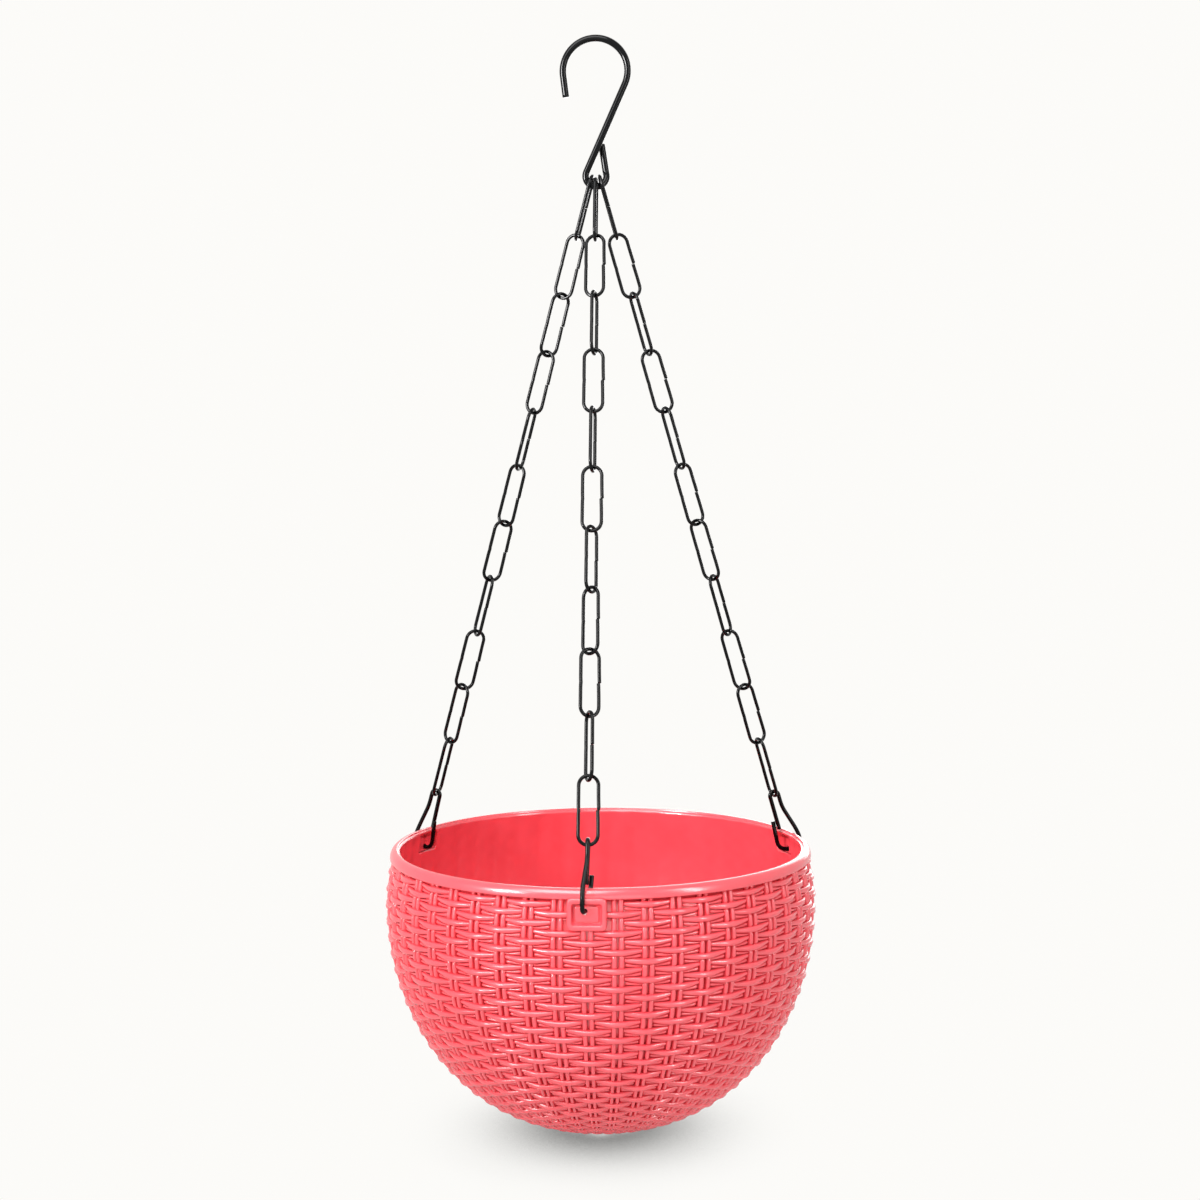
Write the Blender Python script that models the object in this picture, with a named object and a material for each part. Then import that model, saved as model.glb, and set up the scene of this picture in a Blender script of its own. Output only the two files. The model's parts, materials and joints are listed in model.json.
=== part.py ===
"""Hanging basket planter: a moulded woven-look bowl on three wire chains under one wire hook.

Metres, Z up, front is -Y. The origin is the point under the hook's crown that rests on a bracket.
"""
import math

import bmesh
import bpy
from mathutils import Matrix, Vector

# Hook
HOOK_WIRE = 0.0031
CROWN_RADIUS = 0.0147
CROWN_TO_EYE = 0.047
HOOK_TIP_LENGTH = 0.0098
HOOK_TIP_LEAN_DEG = 7.0
EYE_END_LENGTH = 0.0124
EYE_END_LEAN_DEG = 7.4
EYE_END_TUCK = 0.0003
CROWN_STEP_DEG = 15.0
EYE_STEP_DEG = 22.5
HOOK_BEVEL_SEGMENTS = 2

# Chains
CHAIN_NAMES = ("front", "right", "left")
SIDE_CHAIN_PAIRS = 15
LINKS_PER_CHAIN = 11
LINK_WIRE = 0.0016
LINK_WIDTH = 0.0100
LINK_SEAT_GAP = 0.0003
LINK_JOINT_GAP = 0.0004
LINK_JOINT_STEP = 0.0002
LINK_BOW_SEGMENTS = 5
LINK_BEVEL_SEGMENTS = 1
EYE_SEAT_GAP = 0.0007
TOP_LINKS_GAP = 0.00067
SIDE_SEAT_SHARE = 0.95
LINK_ROLLS_DEG = {
    "front": (88.0, -14.0, 78.0, 0.0, 80.0, 0.0, 62.0, -37.0, 25.0, -68.0, 0.0),
    "right": (-86.0, 12.0, -67.0, 14.0, -63.0, 31.0, -34.0, 64.0, -29.0, 31.0, -68.0),
    "left": (86.0, -20.0, 36.0, -27.0, 76.0, -30.0, 30.0, -64.0, 22.0, -38.0, 74.0),
}

# Basket
EYE_TO_RIM = 0.307
RIM_RADIUS = 0.0975
RIM_EDGE = 0.0006
RIM_BAND_HEIGHT = 0.0044
RIM_LIP_WIDTH = 0.0035
RIM_STEP = 0.0010
RIM_LEDGE = 0.0010
BAND_PROUD = 0.0003
WAIST_BULGE = 0.0024
WAIST_DROP = 0.0260
BOWL_DEPTH = 0.1285
BASE_RADIUS = 0.0160
WALL = 0.0043
BASE_WALL = 0.0023
STAKE_PAIRS = 48
COURSE_PITCH = 0.00803
FIRST_COURSE = 0.0185
FIRST_COURSE_GAP = 0.0020
WOVEN_LEAST_RADIUS = 0.057
SMOOTH_SINK_SHARE = 0.45
SMOOTH_RINGS = 3
PROFILE_SAMPLES = 400
PROFILE_STEP_SHARE = 0.001
STAKE_SINK = 0.0010
FLOOR_SINK = 0.0020
SMOOTH_COLUMNS = 48
INNER_RINGS = 6
FOOT_SPREAD = 0.0060
FOOT_WIDTH = 0.0030
FOOT_HEIGHT = 0.0013
DRAIN_RADIUS = 0.0030
DRAIN_EDGE = 0.0018
DRAIN_COUNT = 6
DRAIN_SIDES = 10
CUT_OVERRUN = 0.0030

# Frames round the clip holes
FRAME_WIDTH = 0.0166
FRAME_HEIGHT = 0.0138
FRAME_TOP_DROP = 0.0034
FRAME_PROUD = 0.0021
FRAME_ROOT = 0.0027
FRAME_CORNER = 0.0018
FRAME_SIDE_BORDER = 0.0020
FRAME_LEVEL_BORDER = 0.0024
POCKET_DEPTH = 0.0018
POCKET_CORNER = 0.0010
PAD_SIDE_GAP = 0.0012
PAD_LEVEL_GAP = 0.0011
PAD_RISE = 0.0006
PAD_CORNER = 0.0009
CORNER_POINTS = 3
CLIP_HOLE_BELOW_FRAME_TOP = 0.0055
CLIP_HOLE_SIDE_GAP = 0.0016
CLIP_HOLE_LEVEL_GAP = 0.0010
RECESS_TOP_DROP = 0.0022
RECESS_HEIGHT = 0.0088
RECESS_WALL = 0.0022

# Clips
CLIP_WIRE = 0.0020
CLIP_BOW_GAP = 0.0004
CLIP_SHOULDER = 0.0062
CLIP_RISE = 0.0190
CLIP_RIM_GAP = 0.0008
CLIP_OVER_RIM_RISE = 0.0006
CLIP_FACE_GAP = 0.0007
CLIP_OUTER_TOP_DROP = 0.0036
CLIP_TURN_REACH = 0.0024
CLIP_RUN_SAG = 0.0001
CLIP_RUN_FALL = 0.0008
CLIP_ENTRY_DEPTH = 0.0025
CLIP_INNER_REACH = 0.0045
CLIP_INNER_GAP = 0.0034
CLIP_TIP_RISE = 0.0042
CLIP_TIP_LEAN = 0.0026
CLIP_LAP = 0.0036
CLIP_LAP_REACH = 0.0004
CLIP_OUTER_SHIFT = -0.0017
CLIP_HOLE_SHIFT = -0.0008
CLIP_TIP_SHIFT = 0.0016
CLIP_LEG_SHIFT = -0.0006
CLIP_BEVEL_SEGMENTS = 1
CLIP_BOW_SEGMENTS = 6
CLIP_TURN_SEGMENTS = 3
CLIP_SHOULDER_SEGMENTS = 2

# Derived sizes of the hook: the eye takes three link wires side by side
HOOK_RADIUS = HOOK_WIRE / 2
TOP_SEAT_RADIUS = (LINK_WIRE + TOP_LINKS_GAP) / math.hypot(1.0, SIDE_SEAT_SHARE)
EYE_RADIUS = TOP_SEAT_RADIUS + EYE_SEAT_GAP + LINK_WIRE / 2 + HOOK_RADIUS
EYE_END_SHIFT = HOOK_WIRE - EYE_END_TUCK
CROWN_LEVEL = HOOK_RADIUS - CROWN_RADIUS
EYE_LEVEL = CROWN_LEVEL - CROWN_TO_EYE
SWING_LEVEL = EYE_LEVEL - EYE_RADIUS

# Derived sizes of the basket
RIM_LEVEL = EYE_LEVEL - EYE_TO_RIM
RIM_INNER_RADIUS = RIM_RADIUS - RIM_LIP_WIDTH - RIM_LEDGE
BOWL_TOP_RADIUS = RIM_RADIUS - BAND_PROUD
WAIST_RADIUS = RIM_RADIUS + WAIST_BULGE
FOOT_RADIUS = BASE_RADIUS + FOOT_SPREAD
DRAIN_CIRCLE = BASE_RADIUS - DRAIN_RADIUS - DRAIN_EDGE
COLUMNS = STAKE_PAIRS * 2
SIDE_AZIMUTH_DEG = 360.0 * SIDE_CHAIN_PAIRS / STAKE_PAIRS
CHAIN_AZIMUTHS_DEG = (0.0, SIDE_AZIMUTH_DEG, -SIDE_AZIMUTH_DEG)
FRAME_FACE_RADIUS = RIM_RADIUS + FRAME_PROUD
FRAME_BACK_RADIUS = RIM_RADIUS - FRAME_ROOT
RECESS_RADIUS = FRAME_FACE_RADIUS - POCKET_DEPTH - RECESS_WALL
POCKET_WIDTH = FRAME_WIDTH - 2 * FRAME_SIDE_BORDER
POCKET_HEIGHT = FRAME_HEIGHT - 2 * FRAME_LEVEL_BORDER
PAD_WIDTH = POCKET_WIDTH - 2 * PAD_SIDE_GAP
PAD_HEIGHT = POCKET_HEIGHT - 2 * PAD_LEVEL_GAP
CLIP_HOLE_DROP = FRAME_TOP_DROP + CLIP_HOLE_BELOW_FRAME_TOP
CLIP_HOLE_WIDTH = CLIP_WIRE + 2 * CLIP_HOLE_SIDE_GAP
CLIP_HOLE_HEIGHT = CLIP_WIRE + 2 * CLIP_HOLE_LEVEL_GAP

# Derived sizes of the clips: each straddles the rim, the frame's face and the wall
CLIP_RADIUS = CLIP_WIRE / 2
CLIP_BOW_RADIUS = LINK_WIRE / 2 + CLIP_RADIUS + CLIP_BOW_GAP
CLIP_OVER_RIM_RADIUS = RIM_RADIUS + CLIP_RADIUS + CLIP_RIM_GAP
CLIP_OUTER_RADIUS = FRAME_FACE_RADIUS + CLIP_RADIUS + CLIP_FACE_GAP
CLIP_RUN_DROP = CLIP_HOLE_DROP + CLIP_RUN_SAG
CLIP_RUN_INNER_DROP = CLIP_RUN_DROP + CLIP_RUN_FALL
CLIP_RUN_OUTER_RADIUS = FRAME_FACE_RADIUS - CLIP_ENTRY_DEPTH
CLIP_INNER_RADIUS = RIM_INNER_RADIUS - CLIP_RADIUS - CLIP_INNER_GAP
CLIP_CORNER_RADIUS = CLIP_INNER_RADIUS + CLIP_TIP_LEAN
CLIP_RUN_INNER_RADIUS = CLIP_CORNER_RADIUS + CLIP_INNER_REACH
CLIP_LEG_RADIUS = CLIP_INNER_RADIUS + CLIP_WIRE + CLIP_LAP_REACH
ANCHOR_RADIUS = (CLIP_RUN_OUTER_RADIUS + CLIP_RUN_INNER_RADIUS) / 2

# Finishes: colour, roughness and metallic value
CORAL_PLASTIC = ((0.86, 0.13, 0.16, 1.0), 0.38, 0.0)
BLACK_COATING = ((0.012, 0.014, 0.016, 1.0), 0.28, 0.4)


def make_material(name, finish):
    colour, roughness, metallic = finish
    made = bpy.data.materials.new(name)
    made.use_nodes = True
    shader = made.node_tree.nodes["Principled BSDF"]
    shader.inputs["Base Color"].default_value = colour
    shader.inputs["Roughness"].default_value = roughness
    shader.inputs["Metallic"].default_value = metallic
    return made


def wire_curve(name, points, wire, bevel_segments):
    curve = bpy.data.curves.new(name, "CURVE")
    curve.dimensions = "3D"
    curve.bevel_depth = wire / 2
    curve.bevel_resolution = bevel_segments
    curve.use_fill_caps = True
    spline = curve.splines.new("POLY")
    spline.points.add(len(points) - 1)
    for item, point in zip(spline.points, points):
        item.co = (point[0], point[1], point[2], 1.0)
    return curve


def add_object(name, data, material):
    if not data.materials:
        data.materials.append(material)
    made = bpy.data.objects.new(name, data)
    bpy.context.scene.collection.objects.link(made)
    return made


def arc_points(centre, radius, first_deg, last_deg, steps):
    return [
        Vector((
            centre[0] + radius * math.cos(math.radians(first_deg + (last_deg - first_deg) * i / steps)),
            0.0,
            centre[1] + radius * math.sin(math.radians(first_deg + (last_deg - first_deg) * i / steps)),
        ))
        for i in range(steps + 1)
    ]


# Hook: the crown, the straight shank that is tangent to crown and eye, and the eye
def hook_points():
    lean = math.degrees(math.asin((CROWN_RADIUS + EYE_RADIUS) / CROWN_TO_EYE))
    crown_start = 180.0 + HOOK_TIP_LEAN_DEG
    crown_steps = round((crown_start + lean) / CROWN_STEP_DEG)
    crown = arc_points((0.0, CROWN_LEVEL), CROWN_RADIUS, crown_start, -lean, crown_steps)
    tip_lean = math.radians(HOOK_TIP_LEAN_DEG)
    tip = crown[0] + Vector((math.sin(tip_lean), 0.0, -math.cos(tip_lean))) * HOOK_TIP_LENGTH
    eye_start = 180.0 - lean
    eye_end = 360.0 + EYE_END_LEAN_DEG
    eye_steps = round((eye_end - eye_start) / EYE_STEP_DEG)
    eye = arc_points((0.0, EYE_LEVEL), EYE_RADIUS, eye_start, eye_end, eye_steps)
    end_lean = math.radians(EYE_END_LEAN_DEG)
    end = eye[-1] + Vector((-math.sin(end_lean), 0.0, math.cos(end_lean))) * EYE_END_LENGTH
    loop = eye + [end]
    half = len(loop) // 2
    for i in range(half, len(loop)):
        loop[i].y = EYE_END_SHIFT * (i - half) / (len(loop) - 1 - half)
    return [tip] + crown + loop


def add_hook(material):
    curve = wire_curve("hook_wire", hook_points(), HOOK_WIRE, HOOK_BEVEL_SEGMENTS)
    return add_object("hanging_hook", curve, material)


# Chains: link 1 hangs in the eye, and each chain runs straight to its clip
def outward(azimuth_deg):
    azimuth = math.radians(azimuth_deg)
    return Vector((math.sin(azimuth), -math.cos(azimuth), 0.0))


def top_seat(name):
    side = {"front": 0.0, "right": 1.0, "left": -1.0}[name]
    if side == 0.0:
        return Vector((0.0, 0.0, EYE_LEVEL - TOP_SEAT_RADIUS))
    return Vector((side * TOP_SEAT_RADIUS * SIDE_SEAT_SHARE, 0.0, EYE_LEVEL))


def clip_anchor(azimuth_deg):
    return outward(azimuth_deg) * ANCHOR_RADIUS + Vector((0.0, 0.0, RIM_LEVEL - CLIP_RUN_DROP))


def clip_top(name, azimuth_deg):
    seat = top_seat(name)
    anchor = clip_anchor(azimuth_deg)
    share = (seat.z - RIM_LEVEL - CLIP_RISE) / (seat.z - anchor.z)
    return seat.lerp(anchor, share)


def chain_run(name, azimuth_deg):
    seat = top_seat(name)
    downward = (clip_top(name, azimuth_deg) - seat).normalized()
    return seat, downward, clip_top(name, azimuth_deg) - seat + downward * (CLIP_WIRE - LINK_WIRE) / 2


# All links are alike, so the longest chain's pitch sets their length
def link_length():
    longest = max(chain_run(*chain)[2].length for chain in zip(CHAIN_NAMES, CHAIN_AZIMUTHS_DEG))
    return longest / LINKS_PER_CHAIN + 2 * LINK_WIRE + LINK_SEAT_GAP


def roll_frame(origin, downward, roll_deg):
    up = -downward
    across = up.cross(Vector((0.0, 1.0, 0.0))).normalized() * -1.0
    width = Matrix.Rotation(math.radians(roll_deg), 3, up) @ across
    depth = up.cross(width)
    turn = Matrix((width, depth, up)).transposed().to_4x4()
    return Matrix.Translation(origin) @ turn


def link_points():
    half_width = (LINK_WIDTH - LINK_WIRE) / 2
    bow_drop = half_width * math.cos(math.pi / (2 * LINK_BOW_SEGMENTS))
    low = LINK_WIRE - link_length()
    middle = low / 2
    top_bow = arc_points((0.0, -bow_drop), half_width, 0.0, 180.0, LINK_BOW_SEGMENTS)
    low_bow = arc_points((0.0, low + bow_drop), half_width, 180.0, 360.0, LINK_BOW_SEGMENTS)
    start = Vector((half_width + LINK_JOINT_STEP, 0.0, middle + LINK_JOINT_GAP / 2))
    end = Vector((half_width - LINK_JOINT_STEP, 0.0, middle - LINK_JOINT_GAP / 2))
    return [start] + top_bow + low_bow + [end]


def add_chain(name, azimuth_deg, curve, material):
    seat, downward, run = chain_run(name, azimuth_deg)
    for number in range(LINKS_PER_CHAIN):
        link = add_object(f"{name}_chain_link_{number + 1:02d}", curve, material)
        origin = seat + run * (number / LINKS_PER_CHAIN)
        placed = roll_frame(origin, downward, LINK_ROLLS_DEG[name][number])
        link.location = placed.to_translation()
        link.rotation_euler = placed.to_euler()


# Clip: a long loop that straddles the rim; profile points are (radius, height over the rim, sideways)
def rounded_corner(before, corner, after, reach, segments):
    first = corner + (before - corner).normalized() * reach
    last = corner + (after - corner).normalized() * reach
    points = []
    for i in range(segments + 1):
        share = i / segments
        points.append(first.lerp(corner, share).lerp(corner.lerp(last, share), share))
    return points


def clip_points(name, azimuth_deg):
    top = clip_top(name, azimuth_deg)
    top_radius = math.hypot(top.x, top.y)
    line = (clip_anchor(azimuth_deg) - top).normalized()
    radial = math.hypot(line.x, line.y)
    down = Vector((radial, 0.0, line.z))
    side = Vector((-down.z, 0.0, down.x))
    crown = Vector((top_radius, 0.0, top.z - RIM_LEVEL))
    bow_centre = crown + down * CLIP_BOW_RADIUS
    bow = []
    for i in range(CLIP_BOW_SEGMENTS + 1):
        turn = math.pi * i / CLIP_BOW_SEGMENTS
        reach = side * (-math.cos(turn)) - down * math.sin(turn)
        bow.append(bow_centre + reach * CLIP_BOW_RADIUS)
    leg_end = Vector((CLIP_LEG_RADIUS, CLIP_LEG_SHIFT, CLIP_TIP_RISE - CLIP_LAP))
    shoulder = bow[-1] + down * CLIP_SHOULDER
    over_rim = Vector((CLIP_OVER_RIM_RADIUS, CLIP_OUTER_SHIFT, CLIP_OVER_RIM_RISE))
    outer_top = Vector((CLIP_OUTER_RADIUS, CLIP_OUTER_SHIFT, -CLIP_OUTER_TOP_DROP))
    outer_corner = Vector((CLIP_OUTER_RADIUS, CLIP_OUTER_SHIFT, -CLIP_RUN_DROP))
    inner_corner = Vector((CLIP_CORNER_RADIUS, -CLIP_HOLE_SHIFT / 2, -CLIP_RUN_INNER_DROP))
    hole_entry = Vector((CLIP_RUN_OUTER_RADIUS, CLIP_HOLE_SHIFT, -CLIP_RUN_DROP))
    tip = Vector((CLIP_INNER_RADIUS, CLIP_TIP_SHIFT, CLIP_TIP_RISE))
    path = [leg_end] + bow
    path += rounded_corner(bow[-1], shoulder, over_rim, CLIP_TURN_REACH, CLIP_SHOULDER_SEGMENTS)
    path += [over_rim, outer_top]
    path += rounded_corner(outer_top, outer_corner, hole_entry, CLIP_TURN_REACH, CLIP_TURN_SEGMENTS)
    path += rounded_corner(hole_entry, inner_corner, tip, CLIP_INNER_REACH, CLIP_TURN_SEGMENTS)
    path += [tip]
    return path, crown


def add_clip(name, azimuth_deg, material):
    path, crown = clip_points(name, azimuth_deg)
    points = [point - crown for point in path]
    curve = wire_curve(f"{name}_clip_wire", points, CLIP_WIRE, CLIP_BEVEL_SEGMENTS)
    clip = add_object(f"{name}_rim_clip", curve, material)
    clip.location = clip_top(name, azimuth_deg)
    clip.rotation_euler = (0.0, 0.0, math.radians(azimuth_deg - 90.0))
    return clip


# Basket
def bowl_profile(share):
    upper = math.asin(1.0)
    if share < 0.0:
        fall = 1.0 + share
        radius = BOWL_TOP_RADIUS + (WAIST_RADIUS - BOWL_TOP_RADIUS) * math.sin(upper * fall)
        return radius, -RIM_BAND_HEIGHT - (WAIST_DROP - RIM_BAND_HEIGHT) * fall
    radius = BASE_RADIUS + (WAIST_RADIUS - BASE_RADIUS) * math.cos(upper * share)
    return radius, -WAIST_DROP - (BOWL_DEPTH - WAIST_DROP) * math.sin(upper * share)


# Rows half a course apart down the bowl's curve: pairs with even numbers have their strands on even rows
def woven_rows(last_share):
    spread = last_share + 1.0
    shares = [spread * i / PROFILE_SAMPLES - 1.0 for i in range(PROFILE_SAMPLES + 1)]
    spots = [bowl_profile(share) for share in shares]
    lengths = [0.0]
    for before, after in zip(spots, spots[1:]):
        lengths.append(lengths[-1] + math.hypot(after[0] - before[0], after[1] - before[1]))
    row_pitch = COURSE_PITCH / 2
    number = -math.floor((FIRST_COURSE - FIRST_COURSE_GAP) / row_pitch)
    rows = []
    while FIRST_COURSE + row_pitch * number < lengths[-1]:
        wanted = FIRST_COURSE + row_pitch * number
        index = max(i for i, length in enumerate(lengths) if length <= wanted)
        part_way = (wanted - lengths[index]) / (lengths[index + 1] - lengths[index])
        rows.append((number, shares[index] + (shares[index + 1] - shares[index]) * part_way))
        number += 1
    return rows


def share_at_radius(radius):
    return math.acos((radius - BASE_RADIUS) / (WAIST_RADIUS - BASE_RADIUS)) / math.asin(1.0)


def bowl_normal(share):
    before = bowl_profile(share - PROFILE_STEP_SHARE)
    after = bowl_profile(min(share + PROFILE_STEP_SHARE, 1.0))
    along = Vector((after[0] - before[0], after[1] - before[1])).normalized()
    return Vector((-along.y, along.x))


def add_ring(mesh, radius, height, columns):
    return [
        mesh.verts.new((
            radius * math.sin(math.tau * i / columns),
            -radius * math.cos(math.tau * i / columns),
            height,
        ))
        for i in range(columns)
    ]


def under_frame(column, height):
    half = COLUMNS // 2
    frame_columns = (0, 2 * SIDE_CHAIN_PAIRS, -2 * SIDE_CHAIN_PAIRS)
    nearest = min(abs((column - frame + half) % COLUMNS - half) for frame in frame_columns)
    return nearest <= 1 and height > -(FRAME_TOP_DROP + FRAME_HEIGHT)


def add_smooth_ring(mesh, share, sink):
    radius, height = bowl_profile(share)
    normal = bowl_normal(share)
    return add_ring(mesh, radius - normal.x * sink, height - normal.y * sink, SMOOTH_COLUMNS)


def add_woven_ring(mesh, share, row):
    radius, height = bowl_profile(share)
    normal = bowl_normal(share)
    ring = []
    for column in range(COLUMNS):
        pair = column // 2
        if column % 2 or under_frame(column, height):
            sink = FLOOR_SINK
        elif (pair + row) % 2:
            sink = STAKE_SINK
        else:
            sink = 0.0
        turn = math.tau * column / COLUMNS
        sunk_radius = radius - normal.x * sink
        sunk_height = height - normal.y * sink
        ring.append(mesh.verts.new((sunk_radius * math.sin(turn), -sunk_radius * math.cos(turn), sunk_height)))
    return ring


# Each crossing keeps its crest: the split of every square runs through the crest at one of its corners
def join_woven_rings(mesh, upper, lower, row):
    for i in range(COLUMNS):
        j = (i + 1) % COLUMNS
        pair_column = i if i % 2 == 0 else j
        crest_above = (pair_column // 2 + row) % 2 == 0
        if crest_above == (pair_column == i):
            corners = ((upper[i], upper[j], lower[j]), (upper[i], lower[j], lower[i]))
        else:
            corners = ((upper[i], upper[j], lower[i]), (upper[j], lower[j], lower[i]))
        for corner in corners:
            mesh.faces.new(corner)


def join_rings(mesh, upper, lower):
    if len(upper) == len(lower):
        count = len(upper)
        for i in range(count):
            j = (i + 1) % count
            mesh.faces.new((upper[i], upper[j], lower[j], lower[i]))
        return
    fine_above = len(upper) > len(lower)
    fine, coarse = (upper, lower) if fine_above else (lower, upper)
    for i in range(len(coarse)):
        j = (i + 1) % len(coarse)
        start = fine[2 * i]
        centre = fine[2 * i + 1]
        end = fine[(2 * i + 2) % len(fine)]
        for corners in ((coarse[i], start, centre), (coarse[i], centre, coarse[j]), (coarse[j], centre, end)):
            mesh.faces.new(corners if fine_above else corners[::-1])


def basket_shell():
    mesh = bmesh.new()
    band_bottom = RIM_RADIUS - FLOOR_SINK
    lip_inner = RIM_RADIUS - RIM_LIP_WIDTH
    rings = []
    inner_depth = BOWL_DEPTH - BASE_WALL
    quarter = math.asin(1.0)
    for i in range(INNER_RINGS, -1, -1):
        turn = quarter * i / INNER_RINGS
        radius = BASE_RADIUS + (WAIST_RADIUS - WALL - BASE_RADIUS) * math.cos(turn)
        rings.append(add_ring(mesh, radius, -WAIST_DROP - (inner_depth - WAIST_DROP) * math.sin(turn),
                              SMOOTH_COLUMNS))
    rings.append(add_ring(mesh, RIM_INNER_RADIUS, -RIM_STEP, SMOOTH_COLUMNS))
    rings.append(add_ring(mesh, lip_inner, -RIM_STEP, SMOOTH_COLUMNS))
    rings.append(add_ring(mesh, lip_inner, 0.0, SMOOTH_COLUMNS))
    rings.append(add_ring(mesh, RIM_RADIUS - RIM_EDGE, 0.0, SMOOTH_COLUMNS))
    rings.append(add_ring(mesh, RIM_RADIUS, -RIM_EDGE, SMOOTH_COLUMNS))
    rings.append(add_ring(mesh, RIM_RADIUS, -RIM_BAND_HEIGHT, SMOOTH_COLUMNS))
    rings.append(add_ring(mesh, band_bottom, -RIM_BAND_HEIGHT, SMOOTH_COLUMNS))
    woven = woven_rows(share_at_radius(WOVEN_LEAST_RADIUS))
    row_shift = woven[0][0] - len(rings)
    for row, share in woven:
        rings.append(add_woven_ring(mesh, share, row))
    foot_share = share_at_radius(FOOT_RADIUS)
    for i in range(SMOOTH_RINGS):
        part_way = (i + 1) / (SMOOTH_RINGS + 1)
        share = woven[-1][1] + (foot_share - woven[-1][1]) * part_way
        rings.append(add_smooth_ring(mesh, share, FLOOR_SINK * SMOOTH_SINK_SHARE * (1.0 - part_way)))
    foot_inner = FOOT_RADIUS - FOOT_WIDTH
    rings.append(add_ring(mesh, FOOT_RADIUS, -BOWL_DEPTH, SMOOTH_COLUMNS))
    rings.append(add_ring(mesh, FOOT_RADIUS, -BOWL_DEPTH - FOOT_HEIGHT, SMOOTH_COLUMNS))
    rings.append(add_ring(mesh, foot_inner, -BOWL_DEPTH - FOOT_HEIGHT, SMOOTH_COLUMNS))
    rings.append(add_ring(mesh, foot_inner, -BOWL_DEPTH, SMOOTH_COLUMNS))
    for index, (upper, lower) in enumerate(zip(rings, rings[1:])):
        if len(upper) == COLUMNS and len(lower) == COLUMNS:
            join_woven_rings(mesh, upper, lower, index + row_shift)
        else:
            join_rings(mesh, upper, lower)
    mesh.faces.new(rings[0][::-1])
    mesh.faces.new(rings[-1])
    bmesh.ops.recalc_face_normals(mesh, faces=mesh.faces)
    shell = bpy.data.meshes.new("basket_shell")
    mesh.to_mesh(shell)
    mesh.free()
    return shell


def rounded_outline(width, height, corner):
    outline = []
    for quadrant, (side_x, side_z) in enumerate(((1, 1), (-1, 1), (-1, -1), (1, -1))):
        for i in range(CORNER_POINTS):
            turn = math.radians(90.0 * (quadrant + i / (CORNER_POINTS - 1)))
            outline.append((
                side_x * (width / 2 - corner) + corner * math.cos(turn),
                side_z * (height / 2 - corner) + corner * math.sin(turn),
            ))
    return outline


# Frame block: rings from the back to the face, down into the pocket and up onto the pad
def frame_block(middle_level):
    mesh = bmesh.new()
    floor = FRAME_FACE_RADIUS - POCKET_DEPTH
    layers = (
        (FRAME_WIDTH, FRAME_HEIGHT, FRAME_CORNER, FRAME_BACK_RADIUS),
        (FRAME_WIDTH, FRAME_HEIGHT, FRAME_CORNER, FRAME_FACE_RADIUS),
        (POCKET_WIDTH, POCKET_HEIGHT, POCKET_CORNER, FRAME_FACE_RADIUS),
        (POCKET_WIDTH, POCKET_HEIGHT, POCKET_CORNER, floor),
        (PAD_WIDTH, PAD_HEIGHT, PAD_CORNER, floor),
        (PAD_WIDTH, PAD_HEIGHT, PAD_CORNER, floor + PAD_RISE),
    )
    rings = []
    for width, height, corner, radius in layers:
        rings.append([mesh.verts.new((x, -radius, middle_level + z))
                      for x, z in rounded_outline(width, height, corner)])
    for back, front in zip(rings, rings[1:]):
        join_rings(mesh, back, front)
    mesh.faces.new(rings[0])
    mesh.faces.new(rings[-1][::-1])
    bmesh.ops.recalc_face_normals(mesh, faces=mesh.faces)
    block = bpy.data.meshes.new("frame_block")
    mesh.to_mesh(block)
    mesh.free()
    return block


def box_mesh(name, low, high):
    mesh = bmesh.new()
    bmesh.ops.create_cube(mesh, size=1.0)
    for vert in mesh.verts:
        for axis in range(3):
            vert.co[axis] = low[axis] if vert.co[axis] < 0.0 else high[axis]
    made = bpy.data.meshes.new(name)
    mesh.to_mesh(made)
    mesh.free()
    return made


def drain_mesh():
    mesh = bmesh.new()
    spots = [(0.0, 0.0)]
    for i in range(DRAIN_COUNT):
        turn = math.tau * i / DRAIN_COUNT
        spots.append((DRAIN_CIRCLE * math.sin(turn), DRAIN_CIRCLE * math.cos(turn)))
    for x, y in spots:
        place = Matrix.Translation((x, y, -BOWL_DEPTH))
        bmesh.ops.create_cone(mesh, cap_ends=True, segments=DRAIN_SIDES, radius1=DRAIN_RADIUS,
                              radius2=DRAIN_RADIUS, depth=2 * (BASE_WALL + CUT_OVERRUN), matrix=place)
    made = bpy.data.meshes.new("drain_cutter")
    mesh.to_mesh(made)
    mesh.free()
    return made


def add_tool(name, data):
    tool = bpy.data.objects.new(name, data)
    bpy.context.scene.collection.objects.link(tool)
    tool.hide_render = True
    tool.display_type = "WIRE"
    return tool


def combine(target, tool, operation):
    step = target.modifiers.new(tool.name, "BOOLEAN")
    step.operation = operation
    step.solver = "EXACT"
    step.object = tool


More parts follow.
